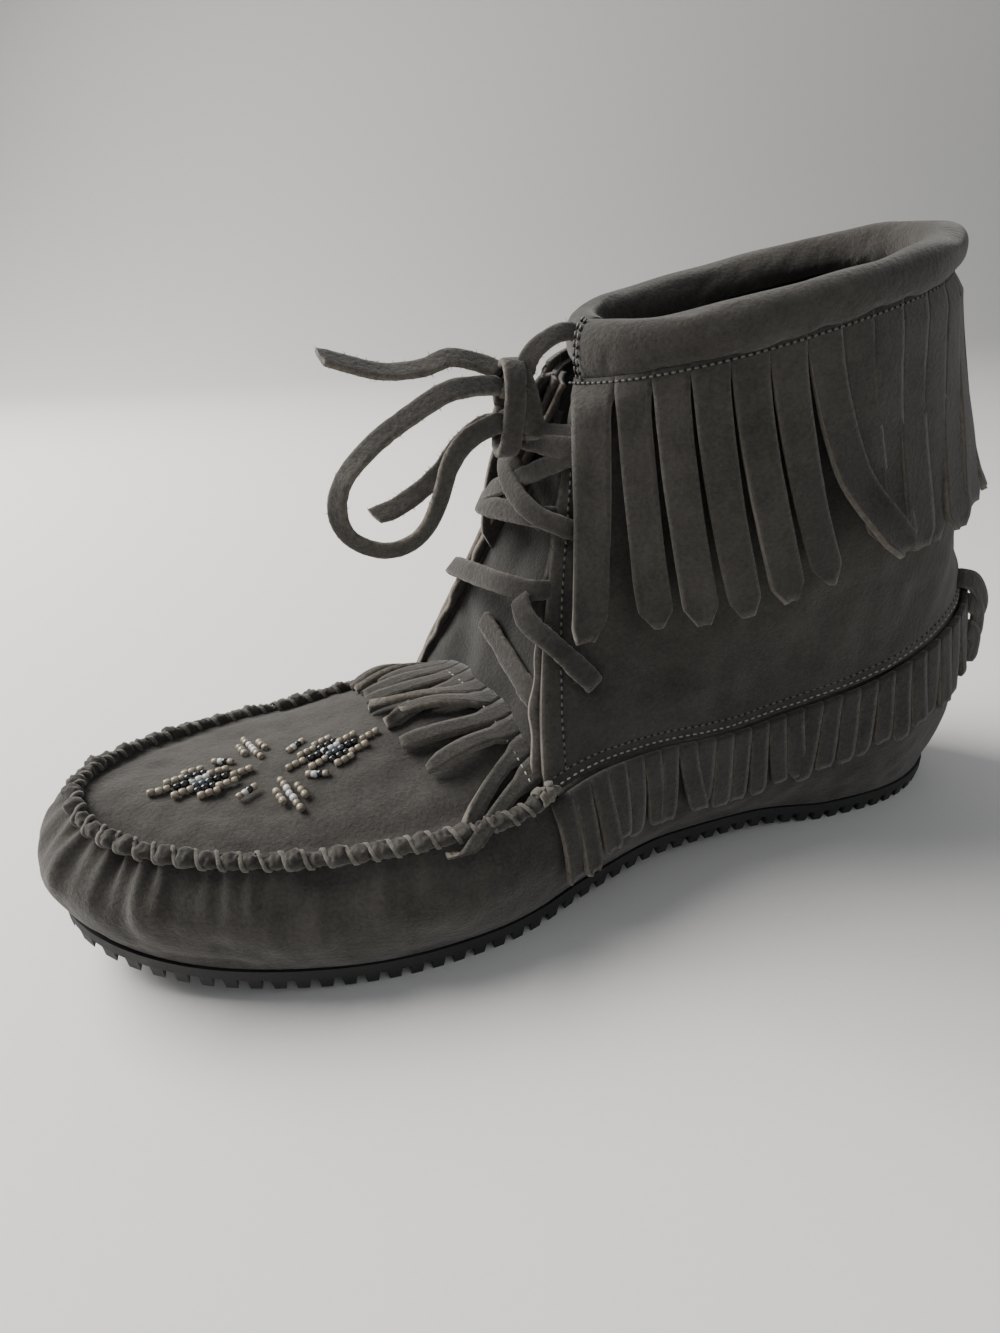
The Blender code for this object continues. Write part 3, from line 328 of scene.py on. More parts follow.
def creaseHeight(points, start, end, depth, width):
    # trough along a segment with a lower ridge on both sides, fading at its ends
    start, end = np.asarray(start), np.asarray(end)
    span = end - start
    t = np.clip(((points - start) @ span) / (span @ span), 0, 1)
    away = np.linalg.norm(points - (start + t[..., None] * span), axis=-1) / width
    fade = np.sin(pi * np.clip(0.08 + 0.84 * t, 0, 1))
    return -depth * fade * (np.exp(-(away**2)) - 0.45 * np.exp(-((away - 1.9) ** 2)))


def makeMesh(name, points, faces, masks=None):
    mesh = bpy.data.meshes.new(name)
    corners = faces if isinstance(faces, list) else faces.tolist()
    mesh.from_pydata(np.asarray(points).reshape(-1, 3).tolist(), [], corners)
    for label, values in (masks or {}).items():
        layer = mesh.attributes.new(label, "FLOAT", "POINT")
        layer.data.foreach_set("value", np.asarray(values, dtype=np.float32).ravel())
    mesh.validate()
    mesh.update()
    made = bpy.data.objects.new(name, mesh)
    bpy.context.scene.collection.objects.link(made)
    made.data.shade_smooth()
    return made


def pointOutwards(mesh):
    shape = bmesh.new()
    shape.from_mesh(mesh)
    bmesh.ops.recalc_face_normals(shape, faces=shape.faces)
    shape.to_mesh(mesh)
    shape.free()


def tubeCaps(count, around):
    # a fan at each end, from two middle points that follow the tube's own points
    k = np.arange(around)
    j = (k + 1) % around
    head, tail = np.full(around, count * around), np.full(around, count * around + 1)
    end = (count - 1) * around
    return np.concatenate([np.stack([head, j, k, head], -1), np.stack([tail, end + k, end + j, tail], -1)])


def turnedOut(points, faces, centre):
    # faces flipped where, on the whole, they look at the centre
    corners = np.asarray(points).reshape(-1, 3)[faces]
    normal = np.cross(corners[:, 2] - corners[:, 0], corners[:, 3] - corners[:, 1])
    away = corners.mean(1) - centre
    return faces if (normal * away).sum() > 0 else faces[:, ::-1]


def joinParts(parts):
    # parts are (points, faces, mask); stacked with their indices shifted
    points, faces, masks, shift = [], [], [], 0
    for spots, quads, mask in parts:
        spots = np.asarray(spots).reshape(-1, 3)
        points.append(spots)
        faces.append(np.asarray(quads) + shift)
        masks.append(np.broadcast_to(np.asarray(mask, float).ravel(), (len(spots),)))
        shift += len(spots)
    return np.concatenate(points), np.concatenate(faces), np.concatenate(masks)


def finishPiece(made, materials, replaced=()):
    for finish in materials:
        made.data.materials.append(finish)
    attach(made, "root")
    if replaced:
        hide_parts(*replaced)
    return made


def thicken(made, thickness):
    # wall added inwards; the cut edge takes the second material
    wall = made.modifiers.new("leatherThickness", "SOLIDIFY")
    wall.thickness = thickness
    wall.offset = -1.0
    wall.material_offset_rim = 1


def smoothRoute(route, count):
    # Catmull-Rom through the points, then spaced evenly
    route = np.asarray(route, float)
    before = np.concatenate([route[:1], route[:-1]])
    after = np.concatenate([route[1:], route[-1:]])
    way = (after - before) / 2
    t = (np.arange(16) / 16)[None, :, None]
    a, b, wa, wb = (v[:, None, :] for v in (route[:-1], route[1:], way[:-1], way[1:]))
    dense = (
        a * (1 + 2 * t) * (1 - t) ** 2 + wa * t * (1 - t) ** 2
        + b * t * t * (3 - 2 * t) + wb * t * t * (t - 1)
    )
    dense = np.concatenate([dense.reshape(-1, 3), route[-1:]])
    run = runAlong(dense)
    return columnsAt(np.linspace(0, run[-1], count), run, dense)


def routeLength(path):
    return float(runAlong(path)[-1])


def thongPart(path, flatWay, width, thickness, seed=0, cup=0.0, tipCut=0.0, around=14, pinch=0.0):
    # rounded-rectangle profile carried along a path; flatWay is square to the flat face
    path = np.asarray(path, float)
    along = unit(np.gradient(path, axis=0))
    flatWay = squareTo(np.broadcast_to(np.asarray(flatWay, float), path.shape), along)
    side = np.cross(along, flatWay)
    angle = np.linspace(0, 2 * pi, around, endpoint=False)
    acrossShape = np.sign(np.cos(angle)) * np.abs(np.cos(angle)) ** 0.45
    outShape = np.sign(np.sin(angle)) * np.abs(np.sin(angle)) ** 0.6
    rng = np.random.default_rng(seed)
    n = len(path)
    turns = max(4, n // 4)
    swing = np.interp(np.arange(n), np.linspace(0, n - 1, turns), rng.uniform(-1, 1, turns))
    across = 0.5 * width * (1 + 0.07 * swing)[:, None] * acrossShape[None]
    out = 0.5 * thickness * (1 - 0.05 * swing)[:, None] * outShape[None]
    out = out + cup * (acrossShape[None] ** 2 - 0.4)
    ragged = 1 + 0.05 * rng.uniform(-1, 1, (n, around)) * (np.abs(acrossShape) > 0.8)
    across = across * ragged
    share = np.linspace(0, 1, n)
    ends = 1 - pinch * (np.exp(-((share / 0.07) ** 2)) + np.exp(-(((1 - share) / 0.07) ** 2)))
    ends[[0, -1]] *= 0.80
    across, out = across * ends[:, None], out * ends[:, None]
    points = path[:, None] + side[:, None] * across[..., None] + flatWay[:, None] * out[..., None]
    if tipCut:
        points[-1] += along[-1] * (tipCut * acrossShape[:, None])
    points = np.concatenate([points.reshape(-1, 3), path[:1], path[-1:]])
    faces = np.concatenate([quadGrid(n, around, wrapColumns=True), tubeCaps(n, around)])
    wear = np.abs(np.tile(acrossShape, n)) ** 6
    return points, faces, np.concatenate([wear, [1, 1]])


def partsPiece(name, parts, materials, replaced=(), thickness=0.0):
    points, faces, wear = joinParts(parts)
    corners = [list(dict.fromkeys(f)) for f in faces.tolist()]   # a fan's faces lose their doubled corner
    made = makeMesh(name, points, corners, {"wear": wear})
    if thickness:
        thicken(made, thickness)
    else:
        pointOutwards(made.data)
    return finishPiece(made, materials, replaced)


# materials
def newGroup(name, inputs, outputs):
    group = bpy.data.node_groups.new(name, "ShaderNodeTree")
    for label, kind, value in inputs:
        socket = group.interface.new_socket(name=label, in_out="INPUT", socket_type=kind)
        if value is not None:
            socket.default_value = value
    for label, kind in outputs:
        group.interface.new_socket(name=label, in_out="OUTPUT", socket_type=kind)
    return group, group.nodes.new("NodeGroupInput"), group.nodes.new("NodeGroupOutput")


def noiseNode(tree, vector, scale, detail=3.0, roughness=0.55):
    node = tree.nodes.new("ShaderNodeTexNoise")
    node.inputs["Scale"].default_value = scale
    node.inputs["Detail"].default_value = detail
    node.inputs["Roughness"].default_value = roughness
    tree.links.new(vector, node.inputs["Vector"])
    return node.outputs["Fac"]


def mathNode(tree, operation, a, b=None, clamp=False):
    node = tree.nodes.new("ShaderNodeMath")
    node.operation = operation
    node.use_clamp = clamp
    for socket, value in zip(node.inputs, (a, b)):
        if value is None:
            continue
        if isinstance(value, (int, float)):
            socket.default_value = value
        else:
            tree.links.new(value, socket)
    return node.outputs[0]


def rangeNode(tree, value, low, high, newLow, newHigh):
    node = tree.nodes.new("ShaderNodeMapRange")
    tree.links.new(value, node.inputs["Value"])
    for label, number in (("From Min", low), ("From Max", high), ("To Min", newLow), ("To Max", newHigh)):
        node.inputs[label].default_value = number
    return node.outputs[0]


def colourInput(node, label):
    return [s for s in node.inputs if s.name == label and s.type == "RGBA"][0]


def mixRgb(tree, share, a, b):
    # colour mix by its typed sockets
    node = tree.nodes.new("ShaderNodeMix")
    node.data_type = "RGBA"
    factor = node.inputs[0]
    first, second = colourInput(node, "A"), colourInput(node, "B")
    for socket, value in ((factor, share), (first, a), (second, b)):
        if isinstance(value, (int, float)):
            socket.default_value = value
        elif isinstance(value, tuple):
            socket.default_value = (*value, 1)
        else:
            tree.links.new(value, socket)
    return [s for s in node.outputs if s.type == "RGBA"][0]


def weighted(tree, a, shareA, b, shareB):
    return mathNode(tree, "ADD", mathNode(tree, "MULTIPLY", a, shareA), mathNode(tree, "MULTIPLY", b, shareB))


def bumpNode(tree, height, normalInput, distance, strength=1.0):
    node = tree.nodes.new("ShaderNodeBump")
    node.inputs["Distance"].default_value = distance
    node.inputs["Strength"].default_value = strength
    tree.links.new(height, node.inputs["Height"])
    tree.links.new(node.outputs["Normal"], normalInput)
    return node


def objectPlace(tree):
    return tree.nodes.new("ShaderNodeTexCoord").outputs["Object"]


def makeNapGroup():
    # suede: slow mottling, brushed patches, fine nap; lighter and browner where worn
    group, start, end = newGroup(
        "suedeNap",
        [("Vector", "NodeSocketVector", None), ("Dark", "NodeSocketColor", (0.05, 0.05, 0.05, 1)),
         ("Light", "NodeSocketColor", (0.1, 0.1, 0.1, 1)), ("Worn", "NodeSocketColor", (0.2, 0.2, 0.2, 1)),
         ("Wear", "NodeSocketFloat", 0.0), ("Nap Scale", "NodeSocketFloat", 1.0),
         ("Depth", "NodeSocketFloat", 0.5)],
        [("Color", "NodeSocketColor"), ("Roughness", "NodeSocketFloat"), ("Normal", "NodeSocketVector")],
    )
    vector = start.outputs["Vector"]
    slow = noiseNode(group, vector, 28, 3.0, 0.6)
    patches = noiseNode(group, vector, 120, 4.0, 0.62)
    scaled = group.nodes.new("ShaderNodeVectorMath")
    scaled.operation = "SCALE"
    group.links.new(vector, scaled.inputs[0])
    group.links.new(start.outputs["Nap Scale"], scaled.inputs["Scale"])
    nap = noiseNode(group, scaled.outputs[0], 950, 4.0, 0.75)
    streak = group.nodes.new("ShaderNodeMapping")
    streak.inputs["Scale"].default_value = (900, 900, 1500)
    group.links.new(scaled.outputs[0], streak.inputs["Vector"])
    brushed = noiseNode(group, streak.outputs[0], 1.0, 2.0, 0.6)
    tone = rangeNode(group, weighted(group, slow, 0.5, patches, 0.5), 0.38, 0.62, 0.0, 1.0)
    grain = rangeNode(group, weighted(group, nap, 0.75, brushed, 0.25), 0.36, 0.64, 0.0, 1.0)
    share = weighted(group, tone, 0.5, grain, 0.5)
    colour = mixRgb(group, share, start.outputs["Dark"], start.outputs["Light"])
    fuzz = rangeNode(group, nap, 0.35, 0.65, 0.35, 1.25)
    wear = mathNode(group, "MULTIPLY", start.outputs["Wear"], fuzz, True)
    colour = mixRgb(group, wear, colour, start.outputs["Worn"])
    group.links.new(colour, end.inputs["Color"])
    group.links.new(rangeNode(group, patches, 0.3, 0.7, 0.90, 1.0), end.inputs["Roughness"])
    bump = bumpNode(group, weighted(group, grain, 0.6, patches, 1.2), end.inputs["Normal"], 0.00035)
    group.links.new(start.outputs["Depth"], bump.inputs["Strength"])
    return group


napGroup = makeNapGroup()


def newMaterial(name, colour):
    made = bpy.data.materials.new(name)
    made.use_nodes = True
    made.diffuse_color = (*colour, 1)
    shader = made.node_tree.nodes["Principled BSDF"]
    shader.inputs["Base Color"].default_value = (*colour, 1)
    return made, made.node_tree, shader


def suedeMaterial(name, dark, light, worn, napScale=1.0, depth=0.55, sheen=0.35):
    # the nap group, with each piece's own wear attribute lightening its edges
    made, tree, shader = newMaterial(name, dark)
    nap = tree.nodes.new("ShaderNodeGroup")
    nap.node_tree = napGroup
    tree.links.new(objectPlace(tree), nap.inputs["Vector"])
    for label, value in (("Dark", dark), ("Light", light), ("Worn", worn)):
        nap.inputs[label].default_value = (*value, 1)
    nap.inputs["Nap Scale"].default_value = napScale
    nap.inputs["Depth"].default_value = depth
    wear = tree.nodes.new("ShaderNodeAttribute")
    wear.attribute_name = "wear"
    tree.links.new(wear.outputs["Fac"], nap.inputs["Wear"])
    for output, socket in (("Color", "Base Color"), ("Roughness", "Roughness"), ("Normal", "Normal")):
        tree.links.new(nap.outputs[output], shader.inputs[socket])
    shader.inputs["Sheen Weight"].default_value = sheen
    shader.inputs["Sheen Roughness"].default_value = 0.45
    shader.inputs["Sheen Tint"].default_value = (0.75, 0.74, 0.72, 1)
    shader.inputs["Specular IOR Level"].default_value = 0.15
    return made


# name, dark, light and worn colour, then scale of the nap, depth and sheen where they differ
suede = suedeMaterial(
    "greySuede", (0.025, 0.0230, 0.0205), (0.068, 0.0625, 0.0555), (0.125, 0.112, 0.096), 1.0, 0.7)
# darker copy of the suede for the throat facings: painted shade inside the throat
shadedFacingSuede = suedeMaterial(
    "facingPaintedShade", (0.020, 0.019, 0.018), (0.044, 0.041, 0.038), (0.09, 0.08, 0.07), 0.7)
rawEdge = suedeMaterial(
    "rawSuedeEdge", (0.048, 0.042, 0.036), (0.115, 0.102, 0.088), (0.20, 0.175, 0.145), 0.6, 0.9, 0.3)
thong = suedeMaterial(
    "suedeThong", (0.030, 0.027, 0.024), (0.082, 0.076, 0.068), (0.15, 0.132, 0.112), 0.8, 0.9)
# darker copy of the thong for the lacing over the throat: painted shade
throatLaceShaded = suedeMaterial(
    "throatLacePaintedShade", (0.024, 0.022, 0.020), (0.064, 0.059, 0.053), (0.12, 0.107, 0.092), 0.8, 0.9)
# darker copy of the suede for the tongue: painted shade in the throat
tonguePaintedShade = suedeMaterial(
    "tonguePaintedShade", (0.016, 0.015, 0.014), (0.044, 0.041, 0.037), (0.09, 0.08, 0.07), 1.0, 0.7)
whipLace = suedeMaterial(
    "whipLaceSuede", (0.075, 0.068, 0.058), (0.150, 0.137, 0.118), (0.18, 0.163, 0.140), 0.8, 0.8)


def threadMaterial(name, colour, rough=0.6):
    # twisted thread: one wave across it, darker and deeper between the plies
    made, tree, shader = newMaterial(name, colour)
    twist = tree.nodes.new("ShaderNodeTexWave")
    twist.inputs["Scale"].default_value = 900
    twist.inputs["Distortion"].default_value = 3
    tree.links.new(objectPlace(tree), twist.inputs["Vector"])
    dark = tuple(0.6 * c for c in colour)
    tree.links.new(mixRgb(tree, twist.outputs["Fac"], dark, colour), shader.inputs["Base Color"])
    bumpNode(tree, twist.outputs["Fac"], shader.inputs["Normal"], 0.0001, 0.6)
    shader.inputs["Roughness"].default_value = rough
    return made


whiteThread = threadMaterial("paleThread", (0.42, 0.40, 0.36))
greyThread = threadMaterial("greyThread", (0.15, 0.142, 0.13))
rollThread = threadMaterial("rollThread", (0.15, 0.142, 0.13))
holeDark = threadMaterial("needleHoleShade", (0.012, 0.012, 0.013), 1.0)


def beadMaterial(name, colour, spread, rough=0.28):
    # glass seed bead: slow change from bead to bead, faint cloudiness, polished
    made, tree, shader = newMaterial(name, colour)
    place = objectPlace(tree)
    slow = noiseNode(tree, place, 420, 1.0, 0.5)
    cloud = noiseNode(tree, place, 2500, 3.0, 0.6)
    share = rangeNode(tree, weighted(tree, slow, 0.8, cloud, 0.2), 0.32, 0.68, 0.0, 1.0)
    low = tuple(c * (1 - spread) for c in colour)
    high = tuple(min(1, c * (1 + spread)) for c in colour)
    tree.links.new(mixRgb(tree, share, low, high), shader.inputs["Base Color"])
    tree.links.new(rangeNode(tree, cloud, 0.3, 0.7, rough * 0.8, rough * 1.3), shader.inputs["Roughness"])
    shader.inputs["Coat Weight"].default_value = 0.3
    shader.inputs["Coat Roughness"].default_value = 0.15
    return made


tanBead = beadMaterial("tanSeedBead", (0.245, 0.208, 0.155), 0.30)
blackBead = beadMaterial("blackSeedBead", (0.012, 0.012, 0.014), 0.3, 0.16)
whiteBead = beadMaterial("whiteSeedBead", (0.48, 0.48, 0.47), 0.10, 0.22)
blueBead = beadMaterial("steelSeedBead", (0.045, 0.055, 0.070), 0.35, 0.18)


def rubberMaterial():
    # matt black rubber with dust in its fine grain
    made, tree, shader = newMaterial("treadRubber", (0.012, 0.012, 0.013))
    place = objectPlace(tree)
    dust = noiseNode(tree, place, 90, 5.0, 0.65)
    grain = noiseNode(tree, place, 1800, 2.0, 0.5)
    share = rangeNode(tree, dust, 0.42, 0.75, 0.0, 0.55)
    colour = mixRgb(tree, share, (0.010, 0.010, 0.011), (0.045, 0.040, 0.035))
    tree.links.new(colour, shader.inputs["Base Color"])
    tree.links.new(rangeNode(tree, dust, 0.3, 0.7, 0.55, 0.85), shader.inputs["Roughness"])
    bumpNode(tree, grain, shader.inputs["Normal"], 0.0002, 0.5)
    return made


def sockMaterial():
    # woven sock lining: two crossed waves
    made, tree, shader = newMaterial("sockLining", (0.05, 0.048, 0.045))
    place = objectPlace(tree)
    threads = []
    for way in ("X", "Y"):
        wave = tree.nodes.new("ShaderNodeTexWave")
        wave.bands_direction = way
        wave.inputs["Scale"].default_value = 420
        wave.inputs["Distortion"].default_value = 0.6
        tree.links.new(place, wave.inputs["Vector"])
        threads.append(wave.outputs["Fac"])
    weave = mathNode(tree, "MULTIPLY", threads[0], threads[1])
    colour = mixRgb(tree, weave, (0.030, 0.029, 0.028), (0.075, 0.070, 0.064))
    tree.links.new(colour, shader.inputs["Base Color"])
    bumpNode(tree, weave, shader.inputs["Normal"], 0.0003)
    shader.inputs["Roughness"].default_value = 0.9
    return made


for nodeName, finish in (("outsole", rubberMaterial()), ("insole", sockMaterial())):
    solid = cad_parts[nodeName]
    for holder in solid.material_slots:
        holder.material = finish
print("materials made")

# the bow
lace = {"width": 0.0050, "thickness": 0.0021, "rest": 0.0024, "cup": 0.00035}
knot = {
    "size": (0.0042, 0.0052, 0.0105), "raise": 0.0048, "back": 0.0040, "clear": 0.0003,
    "radius": 0.0019, "tongueWall": 0.0018, "laceStack": 0.0026,
}
bigLoop = (
    (-0.1215, -0.0065, 0.1305), (-0.1310, -0.0075, 0.1260), (-0.1400, -0.0090, 0.1205),
    (-0.1475, -0.0100, 0.1135), (-0.1500, -0.0100, 0.1060), (-0.1475, -0.0095, 0.0995),
    (-0.1405, -0.0085, 0.0955), (-0.1335, -0.0075, 0.0960), (-0.1285, -0.0070, 0.1000),
    (-0.1250, -0.0070, 0.1070), (-0.1225, -0.0070, 0.1140), (-0.1180, -0.0070, 0.1195),
)
freeEnd = (
    (-0.1190, 0.0010, 0.1370), (-0.1260, 0.0015, 0.1350), (-0.1350, 0.0025, 0.1345),
    (-0.1430, 0.0035, 0.1365), (-0.1490, 0.0040, 0.1385),
)
backEnd = (
    (-0.1170, 0.0050, 0.1160), (-0.1220, 0.0058, 0.1100), (-0.1280, 0.0062, 0.1050),
    (-0.1350, 0.0065, 0.1010), (-0.1400, 0.0065, 0.1000),
)


def knotMiddle():
    out = knot["tongueWall"] + lace["rest"] + knot["laceStack"] + knot["clear"] + knot["size"][0]
    spot, _ = throatPoint(laceHoles[-1][0], 0.0, out)
    return spot + np.array([knot["back"], 0, knot["raise"]])


def leaveKnot(direction):
    # first points of a thong: out of the knot's oval, square to it
    way = unit(np.array(direction))
    size = np.array(knot["size"])
    square = unit(way / size)
    start = knotMiddle() + way * size + square * 2 * knot["clear"]
    return [start, start + square * 2 * knot["radius"]]


def flatThong(name, route, flatWays, replaced, count=44, tipCut=0.0, seed=1):
    # a cord; flatWays is its share along, then the way its flat face looks
    path = smoothRoute(route, count)
    ways = np.array(flatWays, float)
    flat = columnsAt(np.linspace(0, 1, count), ways[:, 0], ways[:, 1:])
    part = thongPart(path, flat, lace["width"], lace["thickness"], seed, lace["cup"], tipCut)
    made = partsPiece(name, [part], [thong], (replaced,))
    print(name, "length", round(routeLength(path) * 1000), "mm")


loopRoute = [
    *leaveKnot((-0.84, -0.25, 0.46)), *map(np.array, bigLoop),
    *reversed(leaveKnot((-0.86, -0.45, -0.25))),
]
freeRoute = [*leaveKnot((-0.60, 0.30, 0.74)), *map(np.array, freeEnd)]
backRoute = [*leaveKnot((-0.75, 0.55, -0.36)), *map(np.array, backEnd)]
loopTurns = (
    (0, 0.1, -0.8, 0.6), (0.2, -0.2, -0.7, 0.6), (0.38, -0.8, -0.5, 0.1), (0.52, -0.3, -0.7, -0.7),
    (0.68, 0.5, -0.8, -0.4), (0.85, 0.5, -0.85, 0.2), (1, 0.2, -0.9, 0.3),
)
freeTurns = ((0, 0.2, -0.7, 0.7), (0.5, 0.0, -0.6, 0.8), (1, 0.0, -0.5, 0.85))
backTurns = ((0, 0.3, -0.8, 0.5), (1, 0.2, -0.7, 0.7))
flatThong("bowLoop", loopRoute, loopTurns, "bow_loop", 72, 0, 3)
flatThong("freeLaceEnd", freeRoute, freeTurns, "lace_end_free", 34, 0.0012, 5)
flatThong("backLaceEnd", backRoute, backTurns, "lace_end_back", 30, 0.001, 7)


def wrapPath(middle, halfY, halfZ, tilt, shiftX, count=40):
    # oval ring square to the bow's way, leaning by the tilt
    angle = np.linspace(0, 2 * pi, count)
    y = halfY * np.cos(angle)
    z = halfZ * np.sign(np.sin(angle)) * np.abs(np.sin(angle)) ** 0.8
    x = shiftX + tilt * z / halfZ
    ring = middle + np.stack([x, y, z], -1)
    out = np.stack([np.zeros(count), np.cos(angle) / halfY, np.sin(angle) / halfZ], -1)
    return ring, out


# half width, half height, tilt and shift of each wrap round the knot
knotWraps = ((0.0052, 0.0104, 0.0010, -0.0020), (0.0046, 0.0094, -0.0022, 0.0022))
# thongs through the wraps, from the knot's middle
knotBundle = (
    ((-0.0050, -0.0018, 0.0042), (0.0, -0.0020, 0.0050), (0.0045, -0.0010, 0.0040)),
    ((-0.0050, -0.0022, -0.0022), (0.0, -0.0024, -0.0010), (0.0045, -0.0015, -0.0020)),
    ((-0.0046, 0.0018, 0.0062), (0.0, 0.0014, 0.0058), (0.0045, 0.0010, 0.0050)),
    ((-0.0046, 0.0022, -0.0040), (0.0, 0.0018, -0.0046), (0.0045, 0.0010, -0.0060)),
)
# the way its flat face looks, then the route: up to the collar, to the near hole, down the throat
knotFolds = (
    ((-0.3, -0.8, 0.5), (
        (-0.0885, -0.0008, 0.1412), (-0.0920, -0.0022, 0.1418), (-0.0958, -0.0032, 0.1408),
        (-0.0995, -0.0038, 0.1388), (-0.1018, -0.0038, 0.1360), (-0.1026, -0.0036, 0.1325),
    )),
    ((-0.4, -0.5, 0.7), (
        (-0.1055, -0.0015, 0.1200), (-0.1000, -0.0070, 0.1200), (-0.0950, -0.0125, 0.1200),
        (-0.0905, -0.0155, 0.1195),
    )),
    ((-0.8, -0.6, 0.1), (
        (-0.1045, 0.0020, 0.1130), (-0.1035, -0.0020, 0.1080), (-0.1015, -0.0050, 0.1020),
        (-0.0985, -0.0060, 0.0960),
    )),
)


def makeKnot():
    middle = knotMiddle()
    parts = []
    for k, wrap in enumerate(knotWraps):
        ring, out = wrapPath(middle, *wrap)
        parts.append(thongPart(ring, out, 0.0052, 0.0024, 1 + k, 0.0003))
    for k, run in enumerate(knotBundle):
        path = smoothRoute(middle + np.array(run), 12)
        parts.append(thongPart(path, (0.0, -0.5, 0.85), 0.0044, 0.0022, 10 + k))
    for k, (flatWay, run) in enumerate(knotFolds):
        parts.append(thongPart(smoothRoute(run, 20), flatWay, 0.0046, 0.0021, 60 + k, 0.0002))
    partsPiece("bowKnot", parts, [thong], ("bow_knot",))


makeKnot()
print("bow made")


# middles of the whole boot and of its shaft, for which way is out
bootMiddleX, shaftMiddleX = -0.09, -0.04

# the vamp wall
wallLook = {
    "columns": 720, "rows": 46, "thickness": 0.0016, "pitch": 0.0048,
    "puckerDepth": 0.0017, "puckerReach": 0.0058, "troughDepth": 0.0011,
    "softDepth": 0.00035,
}


def seamRun(turn):
    # length along the plug's seam from the toe, plus on the inner side
    fine = np.linspace(-throatTurn(1) - 0.4, throatTurn(-1) + 0.4, 600)
    run = runAlong(wallPoint(fine, np.ones_like(fine)))
    run -= np.interp(0.0, fine, run)
    return np.interp(turn, fine, run)


innerRun, outerRun = float(seamRun(throatTurn(-1))), float(seamRun(-throatTurn(1)))


# folds: side (inner 1, outer -1), share of that side's throat angle, shift of the
# share down the fold, rise from, rise to, depth, width
wallFolds = (
    (1, 0.71, 0.03, 0.96, 0.25, 0.0020, 0.0042), (1, 0.50, -0.03, 0.95, 0.35, 0.0011, 0.0034),
    (1, 0.24, 0.02, 0.95, 0.40, 0.0014, 0.0028), (1, 0.36, 0.03, 0.93, 0.32, 0.0013, 0.0030),
    (1, 0.10, 0.02, 0.95, 0.50, 0.0008, 0.0026), (1, 0.88, 0.02, 0.90, 0.35, 0.0006, 0.0045),
    (-1, 0.20, 0.03, 0.95, 0.45, 0.0009, 0.0028), (-1, 0.45, 0.02, 0.95, 0.40, 0.0007, 0.0035),
    (-1, 0.78, 0.03, 0.92, 0.30, 0.0009, 0.0045),
)


def makeWall():
    # wall of the last, moved along its normal by puckers, troughs, folds and gathers
    look = wallLook
    turn = np.linspace(0, 2 * pi, look["columns"], endpoint=False)
    rise = np.linspace(0, 1, look["rows"])
    turns, rises = np.meshgrid(turn, rise)
    points = wallPoint(turns, rises)
    normal = facingOut(gridNormals(points, wrapColumns=True), points, bootMiddleX)
    signed = np.where(turns > pi, turns - 2 * pi, turns)
    run = seamRun(signed)
    below = (1 - rises) * (topHeight(lengthShare(turns)) - soleTop(lengthShare(turns)))
    atSeam = 1 - smoothStep(-0.004, 0.006, np.maximum(run - innerRun, outerRun - run))
    strong = 0.40 + 0.60 * np.exp(-((run / 0.075) ** 2))
    vary = 1 + 0.3 * lineNoise(run, 0.013, 21)
    beat = 0.5 + 0.5 * np.cos(2 * pi * run / look["pitch"])
    pucker = -look["puckerDepth"] * atSeam * strong * vary * beat
    height = pucker * np.exp(-((below / (look["puckerReach"] * (0.6 + 0.5 * strong))) ** 1.3))
    trough = np.clip(softNoise(np.stack([run, 0.3 * below, 0 * run], -1), 0.016, 33), -0.3, 1.4)
    height += -look["troughDepth"] * strong * atSeam * trough * np.exp(-((below / 0.017) ** 1.5))
    height += look["softDepth"] * softNoise(points, 0.035, 5)
    height += 0.00012 * softNoise(points, 0.009, 6)
    for side, share, shift, top, bottom, depth, width in wallFolds:
        whole = throatTurn(-1) if side > 0 else -throatTurn(1)
        start = wallPoint(np.array(whole * share), np.array(top))
        end = wallPoint(np.array(whole * (share + shift)), np.array(bottom))
        height += creaseHeight(points, start, end, depth, width)
    # small gathers where the leather is pulled under the toe
    gathers = np.exp(-((rises / 0.16) ** 2)) * np.exp(-((run / 0.09) ** 2))
    height += -0.0003 * gathers * np.abs(lineNoise(run, 0.007, 9))
    height = height * smoothStep(0.0, 0.10, rises)
    points[..., 2] -= 0.0007 * (1 - smoothStep(0.0, 0.08, rises))
    points = points + normal * height[..., None]
    faces = quadGrid(look["rows"], look["columns"], wrapColumns=True)
    faces = turnedOut(points, faces, np.array([bootMiddleX, 0, 0.03]))
    wear = 0.35 * np.exp(-((below / 0.0012) ** 2)) + 0.10 * np.clip(-pucker / 0.001, 0, 1)
    made = makeMesh("vampWall", points, faces, {"wear": wear})
    thicken(made, look["thickness"])
    finishPiece(made, [suede, rawEdge], ("upper",))


makeWall()
print("vamp wall made")

# the plug
plugLook = {"rows": 120, "columns": 91, "thickness": 0.0016, "soft": 0.00030, "valley": 0.0007}


